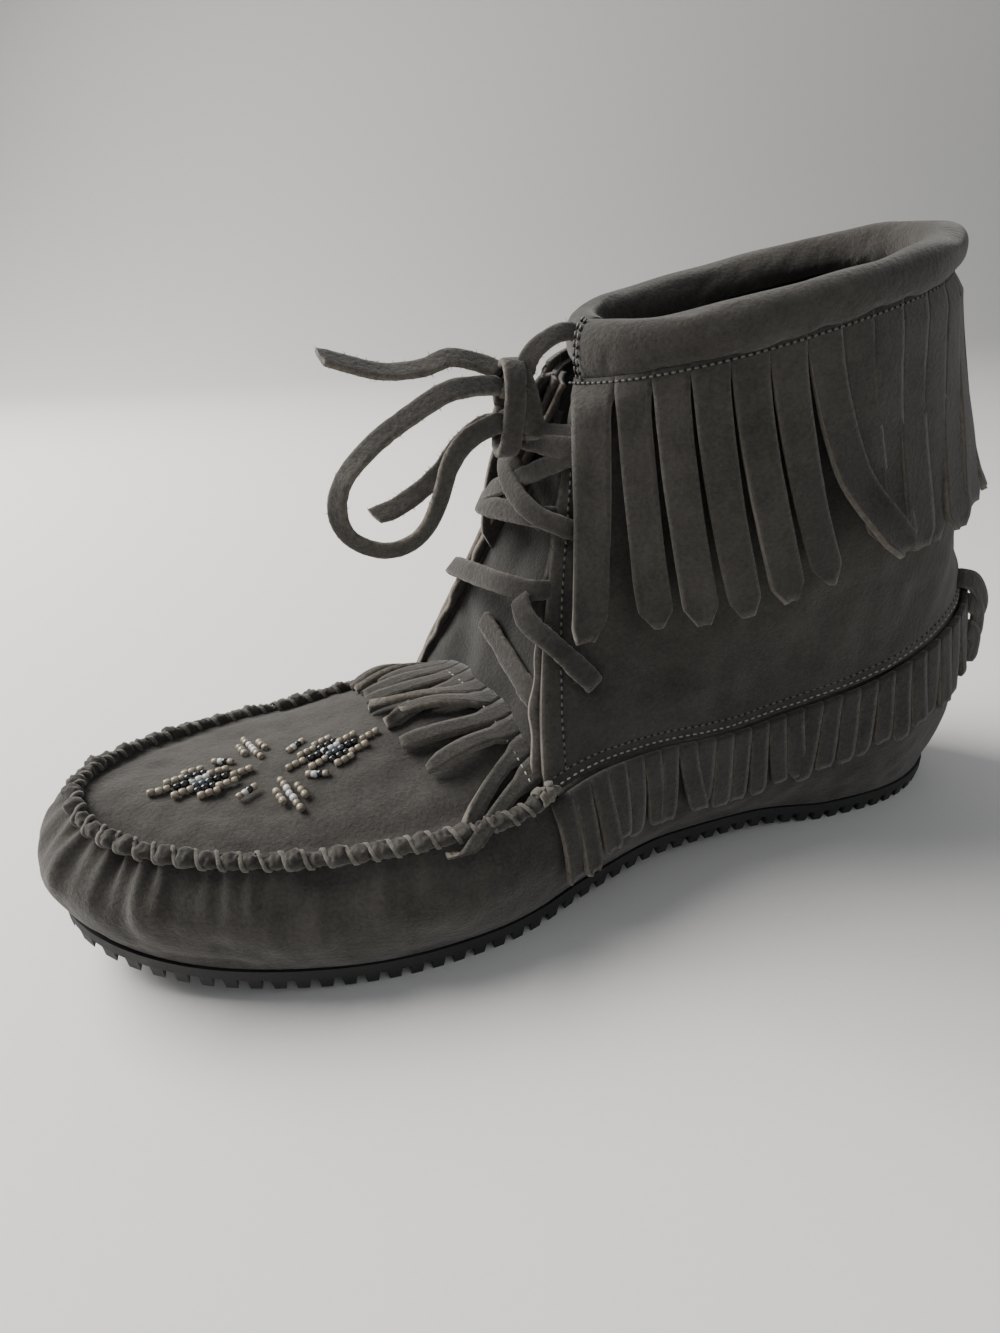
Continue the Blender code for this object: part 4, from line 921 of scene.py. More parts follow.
def makePlug():
    # plug of the last, raised by soft noise and sunk in a valley just inside its seam
    look = plugLook
    share = np.linspace(0.012, 1.0, look["rows"])
    across = np.sin(np.linspace(-pi / 2, pi / 2, look["columns"]))
    shares, acrosses = np.meshgrid(share, across, indexing="ij")
    points = plugPoint(shares, acrosses)
    half = 0.5 * np.linalg.norm(points[:, -1] - points[:, 0], axis=-1)[:, None]
    inside = (1 - np.abs(acrosses)) * half
    points[..., 2] += look["soft"] * softNoise(points, 0.030, 41) + 0.0001 * softNoise(points, 0.008, 42)
    points[..., 2] -= look["valley"] * np.exp(-(((inside - 0.004) / 0.0028) ** 2))
    points[..., 2] += creaseHeight(points, (-0.150, -0.035, 0.043), (-0.135, -0.020, 0.047), 0.0006, 0.005)
    points[..., 2] += creaseHeight(points, (-0.150, 0.032, 0.043), (-0.132, 0.018, 0.048), 0.0006, 0.005)
    faces = turnedOut(points, quadGrid(look["rows"], look["columns"]), np.array([-0.17, 0, -0.2]))
    wear = 0.25 * np.exp(-((inside / 0.0012) ** 2))
    made = makeMesh("plugPanel", points, faces, {"wear": wear})
    thicken(made, look["thickness"])
    finishPiece(made, [suede, rawEdge], ("upper",))


makePlug()

# the quarters
quarterLook = {
    "columns": 380, "rows": 92, "thickness": 0.0018, "soft": 0.00055, "fine": 0.00012,
    "round": 0.27, "facing": 0.055, "facingRows": 80, "facingColumns": 12, "facingThickness": 0.0015,
}
# share round the shaft and rise, from and to, then depth and width
quarterFolds = (
    (0.06, 0.10, 0.12, 0.42, 0.0007, 0.0055), (0.16, 0.12, 0.22, 0.34, 0.0008, 0.0065),
    (0.30, 0.10, 0.27, 0.30, 0.0007, 0.0060), (0.38, 0.20, 0.46, 0.34, 0.0009, 0.0055),
    (0.42, 0.42, 0.50, 0.46, 0.0008, 0.0045), (0.54, 0.38, 0.60, 0.30, 0.0009, 0.0055),
    (0.72, 0.14, 0.66, 0.36, 0.0008, 0.0065), (0.84, 0.10, 0.80, 0.38, 0.0008, 0.0060),
    (0.93, 0.12, 0.90, 0.44, 0.0007, 0.0055),
)


def quarterSurface(shares, rises):
    # shaft with its folds: soft noise and troughs along its normal
    points = shaftPoint(shares, rises)
    normal = facingOut(gridNormals(points), points, shaftMiddleX)
    hem = smoothStep(0, 0.08, rises) * (0.25 + 0.75 * smoothStep(0.0, 0.05, np.minimum(shares, 1 - shares)))
    height = quarterLook["soft"] * softNoise(points, 0.042, 51) * hem
    height += quarterLook["fine"] * softNoise(points, 0.010, 52)
    for shareA, riseA, shareB, riseB, depth, width in quarterFolds:
        start = shaftPoint(np.array(shareA), np.array(riseA))
        end = shaftPoint(np.array(shareB), np.array(riseB))
        height += creaseHeight(points, start, end, depth, width)
    # the lace draws a dimple round each hole
    for rise, setback in laceHoles:
        _, _, _, edge = throatLine(rise)
        for side in (-1, 1):
            spot, _ = throatPoint(rise, side * (edge + setback), 0.0)
            gap = np.linalg.norm(points - spot, axis=-1)
            height -= 0.0016 * np.exp(-((gap / 0.0022) ** 2))
            height -= 0.0005 * np.exp(-((gap / 0.0060) ** 2))
    return points + normal * height[..., None], normal


def makeQuarters():
    look = quarterLook
    inwards = np.array([shaftMiddleX, 0, 0.08])
    shares, rises = np.meshgrid(np.linspace(0, 1, look["columns"]), np.linspace(0, 1, look["rows"]))
    points, _ = quarterSurface(shares, rises)
    faces = turnedOut(points, quadGrid(look["rows"], look["columns"]), inwards)
    edge = np.minimum(shares, 1 - shares) * look["round"]
    wear = 0.45 * np.exp(-((edge / 0.0010) ** 2)) + 0.15 * np.exp(-((rises / 0.012) ** 2))
    made = makeMesh("quarters", points, faces, {"wear": wear})
    thicken(made, look["thickness"])
    finishPiece(made, [suede, rawEdge], ("upper",))
    # second layer behind each throat edge, standing a little ahead of it
    parts = []
    rows, columns = look["facingRows"], look["facingColumns"]
    inner = np.linspace(0, look["facing"], columns)
    for columnShares in (inner, 1 - inner):
        spots, ways = quarterSurface(*np.meshgrid(columnShares, np.linspace(0.02, 1.0, rows)))
        ahead = unit(spots[:, :1] - spots[:, 1:2])
        lead = 0.0022 + 0.0008 * softNoise(spots[:, :1], 0.014, 61)
        fade = np.exp(-((inner / 0.012) ** 2))[None, :, None]
        spots = spots + ahead * lead[..., None] * fade - ways * (look["thickness"] + 0.00025)
        faces = turnedOut(spots, quadGrid(rows, columns), inwards)
        mask = np.repeat(np.exp(-((inner / 0.006) ** 2))[None], rows, 0)
        parts.append((spots, faces, mask))
    # the facings take the darker suede, painted shade
    partsPiece("throatFacings", parts, [shadedFacingSuede, rawEdge], ("upper",), look["facingThickness"])


makeQuarters()
print("plug and quarters made")

# the tongue
tongueLook = {
    "thickness": 0.0020, "tuck": 0.013, "underPlug": 0.022, "top": 0.90, "drop": 0.0034,
    "play": 0.0008, "plugWall": 0.002, "columns": 41, "rows": 70,
}


def makeTongue():
    # level rows under the plug and behind the throat, hollowed as one minus across squared
    look = tongueLook
    columns = np.linspace(-1, 1, look["columns"])
    under = look["plugWall"] + last["gap"] + look["play"]
    rows = []
    for share in (1 - look["underPlug"] / (last["length"] * throatShare), 0.93, 1.0):
        row = plugPoint(np.full(len(columns), share), columns * 0.80)
        row[:, 2] -= under
        rows.append(row)
    for rise in (0.12, 0.24, 0.36, 0.50, 0.64, 0.77, look["top"]):
        *_, edge = throatLine(rise)
        reach = edge + look["tuck"] * (0.55 + 0.45 * rise)
        drop = look["drop"] * min(1.0, rise / 0.3)
        rows.append([throatPoint(rise, c * reach, -under - drop * (1 - c * c))[0] for c in columns])
    # one curve up each column
    points = np.stack([smoothRoute(column, look["rows"]) for column in np.stack(rows, 1)], 1)
    normal = gridNormals(points)
    if normal[..., 2].sum() < 0:
        normal = -normal
    middle = np.abs(columns)[None]
    height = 0.0006 * softNoise(points, 0.022, 71) + 0.00012 * softNoise(points, 0.008, 72)
    edgeCurl = 0.0006 * middle**4
    points = points + normal * (height * (1 - middle**2) - edgeCurl)[..., None]
    faces = turnedOut(points, quadGrid(*points.shape[:2]), np.array([-0.05, 0, 0.0]))
    wear = 0.3 * np.broadcast_to(middle**12, points.shape[:2])
    made = makeMesh("tongue", points, faces, {"wear": wear})
    thicken(made, look["thickness"])
    # the tongue takes the darker suede, painted shade
    finishPiece(made, [tonguePaintedShade, rawEdge], ("tongue",))


makeTongue()
print("tongue made")

# whip-laced seam
seamLook = {
    "height": 0.0038, "width": 0.0042, "pitch": 0.0048, "lace": 0.0010, "laceThick": 0.0007,
    "notch": 0.42, "sink": 0.0008, "toeReach": 0.060, "ends": 0.985, "columns": 720, "around": 18,
    "laceLift": 0.00020, "slant": (0.60, 0.95),
}


def seamFrame(run):
    # place, way along, way up and way across of the ridge at a run along the seam
    fine = np.linspace(-throatTurn(1), throatTurn(-1), 900)
    turn = np.interp(run, seamRun(fine), fine)
    place = wallPoint(turn, np.ones_like(turn))
    ahead = unit(wallPoint(turn + 0.01, np.ones_like(turn)) - wallPoint(turn - 0.01, np.ones_like(turn)))
    _, outward = planOutline(turn)
    up = squareTo(np.concatenate([outward * 0.45, np.ones_like(turn)[..., None]], -1), ahead)
    return place, ahead, up, np.cross(ahead, up)


def seamLobe(run):
    # one over each bump, nothing between two bumps
    return np.abs(np.sin(pi * run / seamLook["pitch"])) ** 0.55


def notchDepth(run):
    # what the ridge loses between two bumps, most at the toe
    return seamLook["notch"] * (0.55 + 0.6 * np.exp(-((run / seamLook["toeReach"]) ** 2)))


def makeSeam():
    look = seamLook
    low, high = outerRun * look["ends"], innerRun * look["ends"]
    count, around = look["columns"], look["around"]
    run = np.linspace(low, high, count)
    place, _, up, side = seamFrame(run)
    vary = 1 + 0.10 * lineNoise(run, 0.007, 81)
    size = (1 - notchDepth(run) * (1 - seamLobe(run))) * vary
    angle = np.linspace(0, 2 * pi, around, endpoint=False)
    sideways = np.sign(np.cos(angle)) * np.abs(np.cos(angle)) ** 0.85
    upwards = np.sign(np.sin(angle)) * np.abs(np.sin(angle)) ** 0.80
    middle = place + up * (look["height"] / 2 * size - look["sink"])[:, None]
    ring = (
        middle[:, None]
        + side[:, None] * (look["width"] / 2 * size)[:, None, None] * sideways[None, :, None]
        + up[:, None] * (look["height"] / 2 * size)[:, None, None] * upwards[None, :, None]
    )
    ring = ring + 0.00022 * softNoise(ring, 0.0020, 82)[..., None] * up[:, None]
    points = np.concatenate([ring.reshape(-1, 3), middle[:1], middle[-1:]])
    faces = np.concatenate([quadGrid(count, around, wrapColumns=True), tubeCaps(count, around)])
    groove = np.exp(-((np.cos(angle) / 0.25) ** 2)) * (np.sin(angle) > 0)
    wear = np.repeat((0.04 + 0.30 * groove)[None], count, 0).ravel()
    wear = np.concatenate([wear, [1, 1]])
    partsPiece("plugSeamRidge", [(points, faces, wear)], [suede], ("plug_seam",))
    # lace wraps in the notches, slanting over the ridge
    parts = []
    first = math.ceil(low / look["pitch"] + 0.2)
    lastOne = math.floor(high / look["pitch"] - 0.2)
    rng = np.random.default_rng(8)
    t = np.linspace(0, 1, 15)
    angles = np.radians(-52 + 284 * t)
    cos, sin = np.cos(angles)[:, None], np.sin(angles)[:, None]
    for n in range(first, lastOne + 1):
        slant = rng.uniform(*look["slant"])
        runs = (n + rng.uniform(-0.05, 0.05) + slant * (0.5 - t)) * look["pitch"]
        at, _, rise, across = seamFrame(runs)
        local = (1 - notchDepth(n * look["pitch"]) * (1 - seamLobe(runs)))[:, None]
        reachSide = look["width"] / 2 * local + look["laceLift"]
        reachUp = look["height"] / 2 * local + look["laceLift"]
        centre = at + rise * (look["height"] / 2 * local - look["sink"])
        path = centre + across * cos * reachSide + rise * sin * reachUp
        width = look["lace"] * rng.uniform(0.9, 1.15)
        parts.append(thongPart(path, across * cos + rise * sin, width, look["laceThick"], n + 300, 0, 0, 8))
    # the lace's knotted end at the near throat corner
    corner, along, rise, across = (v[0] for v in seamFrame(np.array([high])))
    bead = corner + rise * 0.0032 + along * 0.0012
    angle = np.linspace(0, 2 * pi, 18)[:, None]
    for k, (tilt, shift) in enumerate(((0.2, -0.0012), (1.1, 0.0002), (-0.5, 0.0014))):
        sideWay = across * math.cos(tilt) + along * math.sin(tilt)
        wrap = 0.0021 * (np.cos(angle) * rise + np.sin(angle) * sideWay)
        parts.append(thongPart(bead + along * shift + wrap, wrap, 0.0021, 0.0012, 400 + k, 0, 0, 8))
    tail = [bead, bead + along * 0.0035 - rise * 0.0012, bead + along * 0.0052 - rise * 0.0042 + across * 0.001]
    parts.append(thongPart(smoothRoute(tail, 10), rise + across, 0.0022, 0.0011, 411, 0, 0, 8))
    partsPiece("plugWhipLace", parts, [whipLace], ("plug_seam",))


makeSeam()
print("seam made")

# collar roll
rollLook = {
    "height": 0.0145, "width": 0.010, "taper": 0.26, "setIn": 0.0012, "setInBack": 0.0045,
    "columns": 24, "rows": 240, "round": 0.265, "pinchReach": 0.0035, "drawn": (0.0085, -0.0035, 0.0),
}


def setBack(shares):
    # how much further in the roll sits towards the heel: the sixth power of a sine
    return (rollLook["setInBack"] - rollLook["setIn"]) * np.clip(np.sin(pi * shares), 0, 1) ** 6


def rollRings(shares, angles, shrink=1.0):
    # superelliptic section carried along the collar, pinched flat at its two ends
    look = rollLook
    centre, outward = collarPoint(shares)
    halfHeight = look["height"] / 2 * (1 - look["taper"] * np.sin(pi * shares))
    fromEnd = np.minimum(shares, 1 - shares) * look["round"]
    pinch = 1 - 0.55 * np.exp(-((fromEnd / look["pinchReach"]) ** 2))
    halfWidth = look["width"] / 2 * pinch
    setIn = look["setIn"] + setBack(shares)
    height = centre[:, 2] + halfHeight + last["gap"]
    middle = np.concatenate([centre[:, :2] - outward * setIn[:, None], height[:, None]], -1)
    way = np.concatenate([outward, np.zeros((len(shares), 1))], -1)
    cos, sin = np.cos(angles), np.sin(angles)
    across = np.sign(cos) * np.abs(cos) ** 0.8
    upward = np.sign(sin) * np.abs(sin) ** 0.8
    # the outer face draws in at its foot, to the stitch line
    tuck = 1 - 0.16 * np.clip(-sin, 0, 1) ** 2
    ring = middle[:, None] + way[:, None] * (halfWidth[:, None] * shrink * across * tuck)[..., None]
    ring = ring + np.array([0, 0, 1.0]) * (halfHeight[:, None] * shrink * upward)[..., None]
    # the far end is drawn back by the lace
    drawn = smoothStep(0.84, 1.0, shares)[:, None] * np.array(look["drawn"])
    return ring + drawn[:, None], middle + drawn


def cuffRoot(shares):
    # how far out the fringe starts, flush with the lower part of the roll
    return 0.0024 - setBack(shares)


def puffedByCloth(made, frames=20, cap=0.0010):
    # pressure from inside with the foot of the roll pinned, then the move is capped
    before = np.empty(len(made.data.vertices) * 3)
    made.data.vertices.foreach_get("co", before)
    cloth = made.modifiers.new("puff", "CLOTH")
    cloth.settings.use_pressure = True
    cloth.settings.uniform_pressure_force = 4
    cloth.settings.effector_weights.gravity = 0
    cloth.settings.vertex_group_mass = "foot"
    cloth.settings.shrink_min = -0.015
    scene = bpy.context.scene
    for number in range(1, frames + 1):
        scene.frame_set(number)
    graph = bpy.context.evaluated_depsgraph_get()
    settled = made.evaluated_get(graph)
    after = np.empty_like(before)
    settled.data.vertices.foreach_get("co", after)
    made.modifiers.clear()
    scene.frame_set(1)
    move = (after - before).reshape(-1, 3)
    length = np.linalg.norm(move, axis=1, keepdims=True)
    move *= np.minimum(1, cap / np.maximum(length, 1e-9))
    made.data.vertices.foreach_set("co", (before.reshape(-1, 3) + move).ravel())
    made.data.update()


def makeRoll():
    look = rollLook
    shares = np.linspace(0.004, 0.996, look["rows"])
    angles = np.linspace(0, 2 * pi, look["columns"], endpoint=False)
    ring, middle = rollRings(shares, angles, 0.95)
    # soft cross wrinkles, strongest near the stitch line and on the inner bend
    run = (shares * look["round"])[:, None]
    low = np.clip(-np.sin(angles), 0, 1)[None] ** 0.7
    inner = np.clip(-np.cos(angles), 0, 1)[None]
    unrolled = np.broadcast_arrays(run, 0.002 * np.cos(angles), 0.002 * np.sin(angles))
    ripple = softNoise(np.stack(unrolled, -1), 0.011, 91)
    relief = 0.00007 * ripple * (0.35 + low + 0.6 * inner) + 0.00016 * softNoise(ring, 0.030, 92)
    ring = ring + unit(ring - middle[:, None]) * relief[..., None]
    count, around = ring.shape[:2]
    faces = quadGrid(count, around, wrapColumns=True).tolist()
    faces.append(list(range(around))[::-1])
    faces.append([(count - 1) * around + k for k in range(around)])
    fromEnd = np.repeat((np.minimum(shares, 1 - shares) * look["round"])[:, None], around, 1)
    made = makeMesh("collarRoll", ring, faces, {"wear": 0.8 * np.exp(-((fromEnd / 0.0016) ** 2))})
    pointOutwards(made.data)
    foot = made.vertex_groups.new(name="foot")
    pinned = np.repeat((np.sin(angles) < -0.85)[None], count, 0)
    pinned |= fromEnd < 0.004
    foot.add(np.flatnonzero(pinned.ravel()).tolist(), 1.0, "REPLACE")
    puffedByCloth(made)
    fine = made.modifiers.new("subdivision", "SUBSURF")
    fine.levels = fine.render_levels = 1
    finishPiece(made, [suede], ("collar_roll",))


makeRoll()
print("collar roll made")

def manyFaces(faces, count, points):
    # one small shape's faces for each of its copies, whose points follow each other
    return (faces[None] + (np.arange(count) * points)[:, None, None]).reshape(-1, faces.shape[1])


# stitches
def stitchParts(places, alongs, ups, length, width):
    # each stitch is a small six-sided grain, pointed at both ends
    t = np.array([-1, -0.6, 0.6, 1.0])
    swell = np.array([0.25, 1, 1, 0.25])
    angle = np.linspace(0, 2 * pi, 6, endpoint=False)
    side = np.cross(alongs, ups)
    points = (
        places[:, None, None] + alongs[:, None, None] * (0.5 * length * t)[None, :, None, None]
        + side[:, None, None] * (0.5 * width * swell[:, None] * np.cos(angle))[None, ..., None]
        + ups[:, None, None] * (0.42 * width * swell[:, None] * np.sin(angle))[None, ..., None]
    )
    caps = np.array([[5, 4, 1, 0], [4, 3, 2, 1], [18, 19, 22, 23], [19, 20, 21, 22]])
    quads = np.concatenate([quadGrid(4, 6, wrapColumns=True), caps])
    return points.reshape(-1, 3), manyFaces(quads, len(places), 24), 0.0


def alongLine(points, pitch, start=0.5):
    # evenly spaced places on a line, with the way along
    run = runAlong(points)
    at = np.arange(start * pitch, run[-1], pitch)
    way = columnsAt(at + 0.0005, run, points) - columnsAt(at - 0.0005, run, points)
    return columnsAt(at, run, points), unit(way)


def shaftLine(shares, rises):
    # line on the plain shaft, and the way out of it
    step, lift = 0.004, 0.01
    before, line, after = (shaftPoint(np.clip(shares + k * step, 0, 1), rises) for k in (-1, 0, 1))
    above, below = (shaftPoint(shares, np.clip(rises + k * lift, 0, 1)) for k in (1, -1))
    return line, facingOut(unit(np.cross(after - before, above - below)), line, shaftMiddleX)


def stitchRow(line, normals, pitch, length, width, start=0.5):
    # stitches along a line, each standing as the normal at its nearest point does
    place, way = alongLine(line, pitch, start)
    nearest = np.argmin(np.linalg.norm(place[:, None] - line[None], axis=-1), axis=1)
    return stitchParts(place, way, squareTo(normals[nearest], way), length, width)


def dressedLine(shares, rises, out):
    # the same line on the folded quarter surface, lifted by out
    flat, normal = shaftLine(shares, rises)
    height = quarterLook["soft"] * softNoise(flat, 0.042, 51) * smoothStep(0, 0.08, rises)
    height = height + quarterLook["fine"] * softNoise(flat, 0.010, 52)
    return flat + normal * (height + out)[:, None], normal


def makeStitches():
    pale, grey, rolled, holes = [], [], [], []
    everywhere = np.linspace(0.004, 0.996, 400)
    # side seam: white dashes along the hem, a darker row above them
    line, normal = dressedLine(everywhere, np.full(400, 0.012), 0.0001)
    pale.append(stitchRow(line, normal, 0.0021, 0.00120, 0.00050))
    line, normal = dressedLine(everywhere, np.full(400, 0.036), 0.0)
    rolled.append(stitchRow(line, normal, 0.0021, 0.0011, 0.00048))
    holes.append(stitchRow(line, normal, 0.0021, 0.0007, 0.0007, 1.0))
    # beside the throat edges
    for share in (0.013, 1 - 0.013):
        line, normal = dressedLine(np.full(160, share), np.linspace(0.03, 0.99, 160), 0.0)
        grey.append(stitchRow(line, normal, 0.0020, 0.0011, 0.0005))
        holes.append(stitchRow(line, normal, 0.0020, 0.0008, 0.0008, 1.0))
    # along the foot of the collar roll, in its crease
    shares = np.linspace(0.002, 0.998, 500)
    start, outward = collarPoint(shares)
    away = cuffRoot(shares)[:, None]
    crease = np.concatenate([start[:, :2] + outward * (away + 0.00005), start[:, 2:] + 0.0010], -1)
    outwards = np.concatenate([outward, np.full((500, 1), 0.25)], -1)
    rolled.append(stitchRow(crease, outwards, 0.0016, 0.00110, 0.0005))
    holes.append(stitchRow(crease, outwards, 0.0016, 0.0007, 0.0007, 1.0))
    # the same seam seen from inside
    inside = np.concatenate([start[:, :2] - outward * 0.0024, start[:, 2:] - 0.0035], -1)
    inwards = np.concatenate([-outward, np.full((500, 1), 0.1)], -1)
    grey.append(stitchRow(inside, inwards, 0.0020, 0.0012, 0.0005))
    # two rows up the roll's front end
    for share in (0.012, 0.021):
        ring, middle = rollRings(np.full(1, share), np.radians(np.linspace(-75, 75, 60)))
        out = ring[0] - middle
        rolled.append(stitchRow(ring[0] + 0.04 * out, out, 0.0019, 0.0012, 0.0006))
        holes.append(stitchRow(ring[0], out, 0.0019, 0.0009, 0.0009, 1.0))
    for name, rows, finish in (
        ("paleStitches", pale, whiteThread), ("rollStitches", rolled, rollThread),
        ("greyStitches", grey, greyThread), ("needleHoles", holes, holeDark),
    ):
        partsPiece(name, rows, [finish])


makeStitches()
print("stitches made")

# fringes
cuffLook = {
    "strandWidth": 0.0083, "strandLength": 0.0565, "room": 0.0025, "flare": 0.0020,
    "thickness": 0.0015, "aboveRim": 0.0022, "laceReach": 0.020, "nearRoom": 0.0020,
    "farRoom": 0.0022, "split": 0.06, "deepest": 0.068, "kickedOut": 6, "kick": (0.004, 0.0035),
}
# near side, front to back: lean to the heel, longer, lift off, curl (mm)
cuffStrands = (
    (4.3, 0.8, 1.0, 0.8), (9.6, 1.4, 0.8, -0.6), (11.2, 1.4, 0.6, 0.5), (13.2, 1.6, 0.4, -0.4),
    (15.5, 0.3, 0.8, 0.7), (17.6, -1.0, 1.2, -0.7), (22.0, -3.6, 4.0, 1.2), (18.0, -4.4, 0.2, -0.4),
    (15.0, 0.0, 0.8, 0.6), (12.5, 2.0, 1.2, 0.5), (9.5, 3.0, 0.8, -0.5), (7.0, 2.5, 1.4, 0.5),
    (4.0, -1.0, 1.8, 0.4), (2.5, -2.0, 2.2, 0.4),
)


def hangWay(shares):
    # outward from the collar, turned to the side near its front ends so that strands hang straight
    start, outward = collarPoint(shares)
    keep = 0.15 + 0.85 * smoothStep(0.0, 0.13, shares)
    keep = keep * (0.40 + 0.60 * smoothStep(0.0, 0.13, 1 - shares))
    way = np.stack([outward[..., 0] * keep, outward[..., 1]], -1)
    return start, unit(way)


def shaftReach(shares, heights):
    # how far out the shaft stands from the collar line, along the hanging way
    start, outward = hangWay(shares)
    side = np.stack([-outward[:, 1], outward[:, 0]], -1)
    ringShares = np.linspace(0, 1, 240)
    low = shaftPoint(ringShares, np.zeros(240))[:, 2]
    high = shaftPoint(ringShares, np.ones(240))[:, 2]
    table = np.zeros((len(heights), len(shares)))
    for k, drop in enumerate(heights):
        z = start[:, 2] - drop
        level = np.clip((z[:, None] - low[None]) / (high - low)[None], 0, 1)
        ring = shaftPoint(np.broadcast_to(ringShares, level.shape), level)[..., :2]
        away = ring - start[:, None, :2]
        reach = (away * outward[:, None]).sum(-1)
        near = np.abs((away * side[:, None]).sum(-1)) < 0.006
        table[k] = np.where(near, reach, -1).max(1)
    return np.maximum.accumulate(np.maximum(table, 0), axis=0)


def lookUp(table, a, b):
    # bilinear look-up at shares a down and b across
    rows, columns = table.shape
    x, y = np.clip(a, 0, 1) * (rows - 1), np.clip(b, 0, 1) * (columns - 1)
    i, j = np.minimum(x.astype(int), rows - 2), np.minimum(y.astype(int), columns - 2)
    u, v = x - i, y - j
    return (table[i, j] * (1 - u) * (1 - v) + table[i + 1, j] * u * (1 - v)
            + table[i, j + 1] * (1 - u) * v + table[i + 1, j + 1] * u * v)


def strandOutline(along, tip, tipShare):
    # full width down to the tip, then straight to its point
    return np.where(along < 1 - tip, 1.0, 1 - (1 - tipShare) * (along - (1 - tip)) / tip)


# the far strand beside the lace, root to tip
frontFlap = (
    ((-0.0950, 0.0085, 0.1310), (-0.1035, 0.0140, 0.1185), (-0.1085, 0.0145, 0.1040), (-0.1105, 0.0145, 0.0860)),
    ((-0.0895, 0.0150, 0.1310), (-0.0955, 0.0165, 0.1185), (-0.0995, 0.0158, 0.1040), (-0.1020, 0.0155, 0.0850)),
)


def makeCuffFringe():
    look = cuffLook
    fineShares = np.linspace(0, 1, 400)
    line, _ = collarPoint(fineShares)
    run = runAlong(line[:, :2])
    whole, around = run[-1], routeLength(line)
    count = round(around / look["strandWidth"])
    table = shaftReach(np.linspace(0, 1, 160), np.linspace(0, look["deepest"], 18))
    rng = np.random.default_rng(4)
    leans = rng.uniform(-0.0025, 0.0035, count)
    lengths = rng.uniform(-0.0005, 0.0035, count)
    widths = np.ones(count)
    widths[[0, 1, -2, -1]] = 1.70, 1.10, 1.10, 1.35
    bounds = np.concatenate([[0], np.cumsum(widths)]) / widths.sum()
    lifts = rng.uniform(0.0, 0.0030, count)
    curls = rng.uniform(-0.0012, 0.0012, count)
    byHand = len(cuffStrands)
    leans[:byHand], lengths[:byHand], lifts[:byHand], curls[:byHand] = np.array(cuffStrands).T / 1000
    t = np.concatenate([[0, 0.03, 0.06], np.linspace(0.10, 0.90, 18), [0.93, 0.965, 1.0]])
    a = np.linspace(-1, 1, 9)
    parts = []
    for k in range(count):
        middle = (bounds[k] + bounds[k + 1]) / 2
        uncut = 0.05 + 0.13 * smoothStep(0.20, 0.28, min(middle, 1 - middle))
        slit = np.clip((t - uncut) / 0.06, 0, 1)
        trim = {0: 0.94, 1: 0.92}.get(k, 1.0)
        half = 0.5 * (1 - (1 - (1 - look["split"]) * trim) * slit) * (bounds[k + 1] - bounds[k])
        outline = strandOutline(t, 0.075, 0.28 if k % 3 else 0.42)
        rough = 1 + 0.015 * np.interp(t, np.linspace(0, 1, 12), rng.uniform(-1, 1, 12))
        u = middle + (half * outline * rough)[:, None] * a[None]
        depth = np.broadcast_to(t[:, None], u.shape)
        root, _ = hangWay(np.interp(u * whole, run, fineShares))
        share = np.interp(np.clip(u * whole + leans[k] * depth**1.25, 0, whole), run, fineShares)
        start, outward = hangWay(share)
        fromEnd = np.minimum(u, 1 - u) * whole
        nearLace = np.clip(1 - (fromEnd / look["laceReach"]) ** 2, 0, 1)
        laceRoom = np.where(u < 0.5, look["nearRoom"], look["farRoom"])
        length = look["strandLength"] + lengths[k]
        z = root[..., 2] - length * depth + look["aboveRim"]
        reach = lookUp(table, (start[..., 2] - z) / look["deepest"], share)
        room = look["room"] + laceRoom * nearLace * np.minimum(1, depth / 0.12)
        room = room + (look["flare"] + lifts[k]) * depth**2 + curls[k] * depth**2 * (a**2)[None]
        wave = 0.0004 * np.sin(2 * pi * (depth * 1.3 + 0.37 * k)) * depth
        tucked = smoothStep(0.0, 0.0055, length * depth)
        away = cuffRoot(share) * (1 - tucked) + (reach + room + wave) * tucked
        if k == look["kickedOut"]:
            kick = smoothStep(0.55, 1.0, depth)
            away, z = away + look["kick"][0] * kick, z + look["kick"][1] * kick
        points = np.concatenate([start[..., :2] + outward * away[..., None], z[..., None]], -1)
        if k == count - 1:
            # turned forwards past the lace: its two edges given outright
            left, right = (smoothRoute(edge, len(t)) for edge in frontFlap)
            inward = ((outline * rough)[:, None] * a[None] + 1)[..., None] / 2
            points = left[:, None] * (1 - inward) + right[:, None] * inward
        faces = turnedOut(points, quadGrid(*points.shape[:2]), np.array([-0.044, 0, 0.1]))
        wear = 0.32 * np.abs(a)[None] ** 10 * slit[:, None]
        wear = np.maximum(wear, 0.5 * smoothStep(0.975, 1.0, depth))
        parts.append((points, faces, wear))
    made = partsPiece("cuffFringe", parts, [suede, rawEdge], ("cuff_fringe",), look["thickness"])
    print("cuff fringe", count, "strands", round(around * 1000), "mm round")


makeCuffFringe()

sideLook = {
    "strandWidth": 0.0059, "strandLength": 0.021, "room": 0.0024, "thickness": 0.0015,
    "split": 0.07, "heelHalfWidth": 0.00275, "heelFaces": (0.2, -0.9, 0.3),
}
# three strands at the heel that stand off, root to tip
heelStrands = (
    ((0.0290, -0.0150, 0.0700), (0.0350, -0.0150, 0.0680), (0.0400, -0.0145, 0.0620), (0.0420, -0.0140, 0.0555)),
    ((0.0335, -0.0160, 0.0620), (0.0385, -0.0155, 0.0590), (0.0405, -0.0150, 0.0525), (0.0405, -0.0150, 0.0480)),
    ((0.0340, -0.0175, 0.0540), (0.0380, -0.0170, 0.0510), (0.0390, -0.0168, 0.0450), (0.0385, -0.0168, 0.0415)),
)


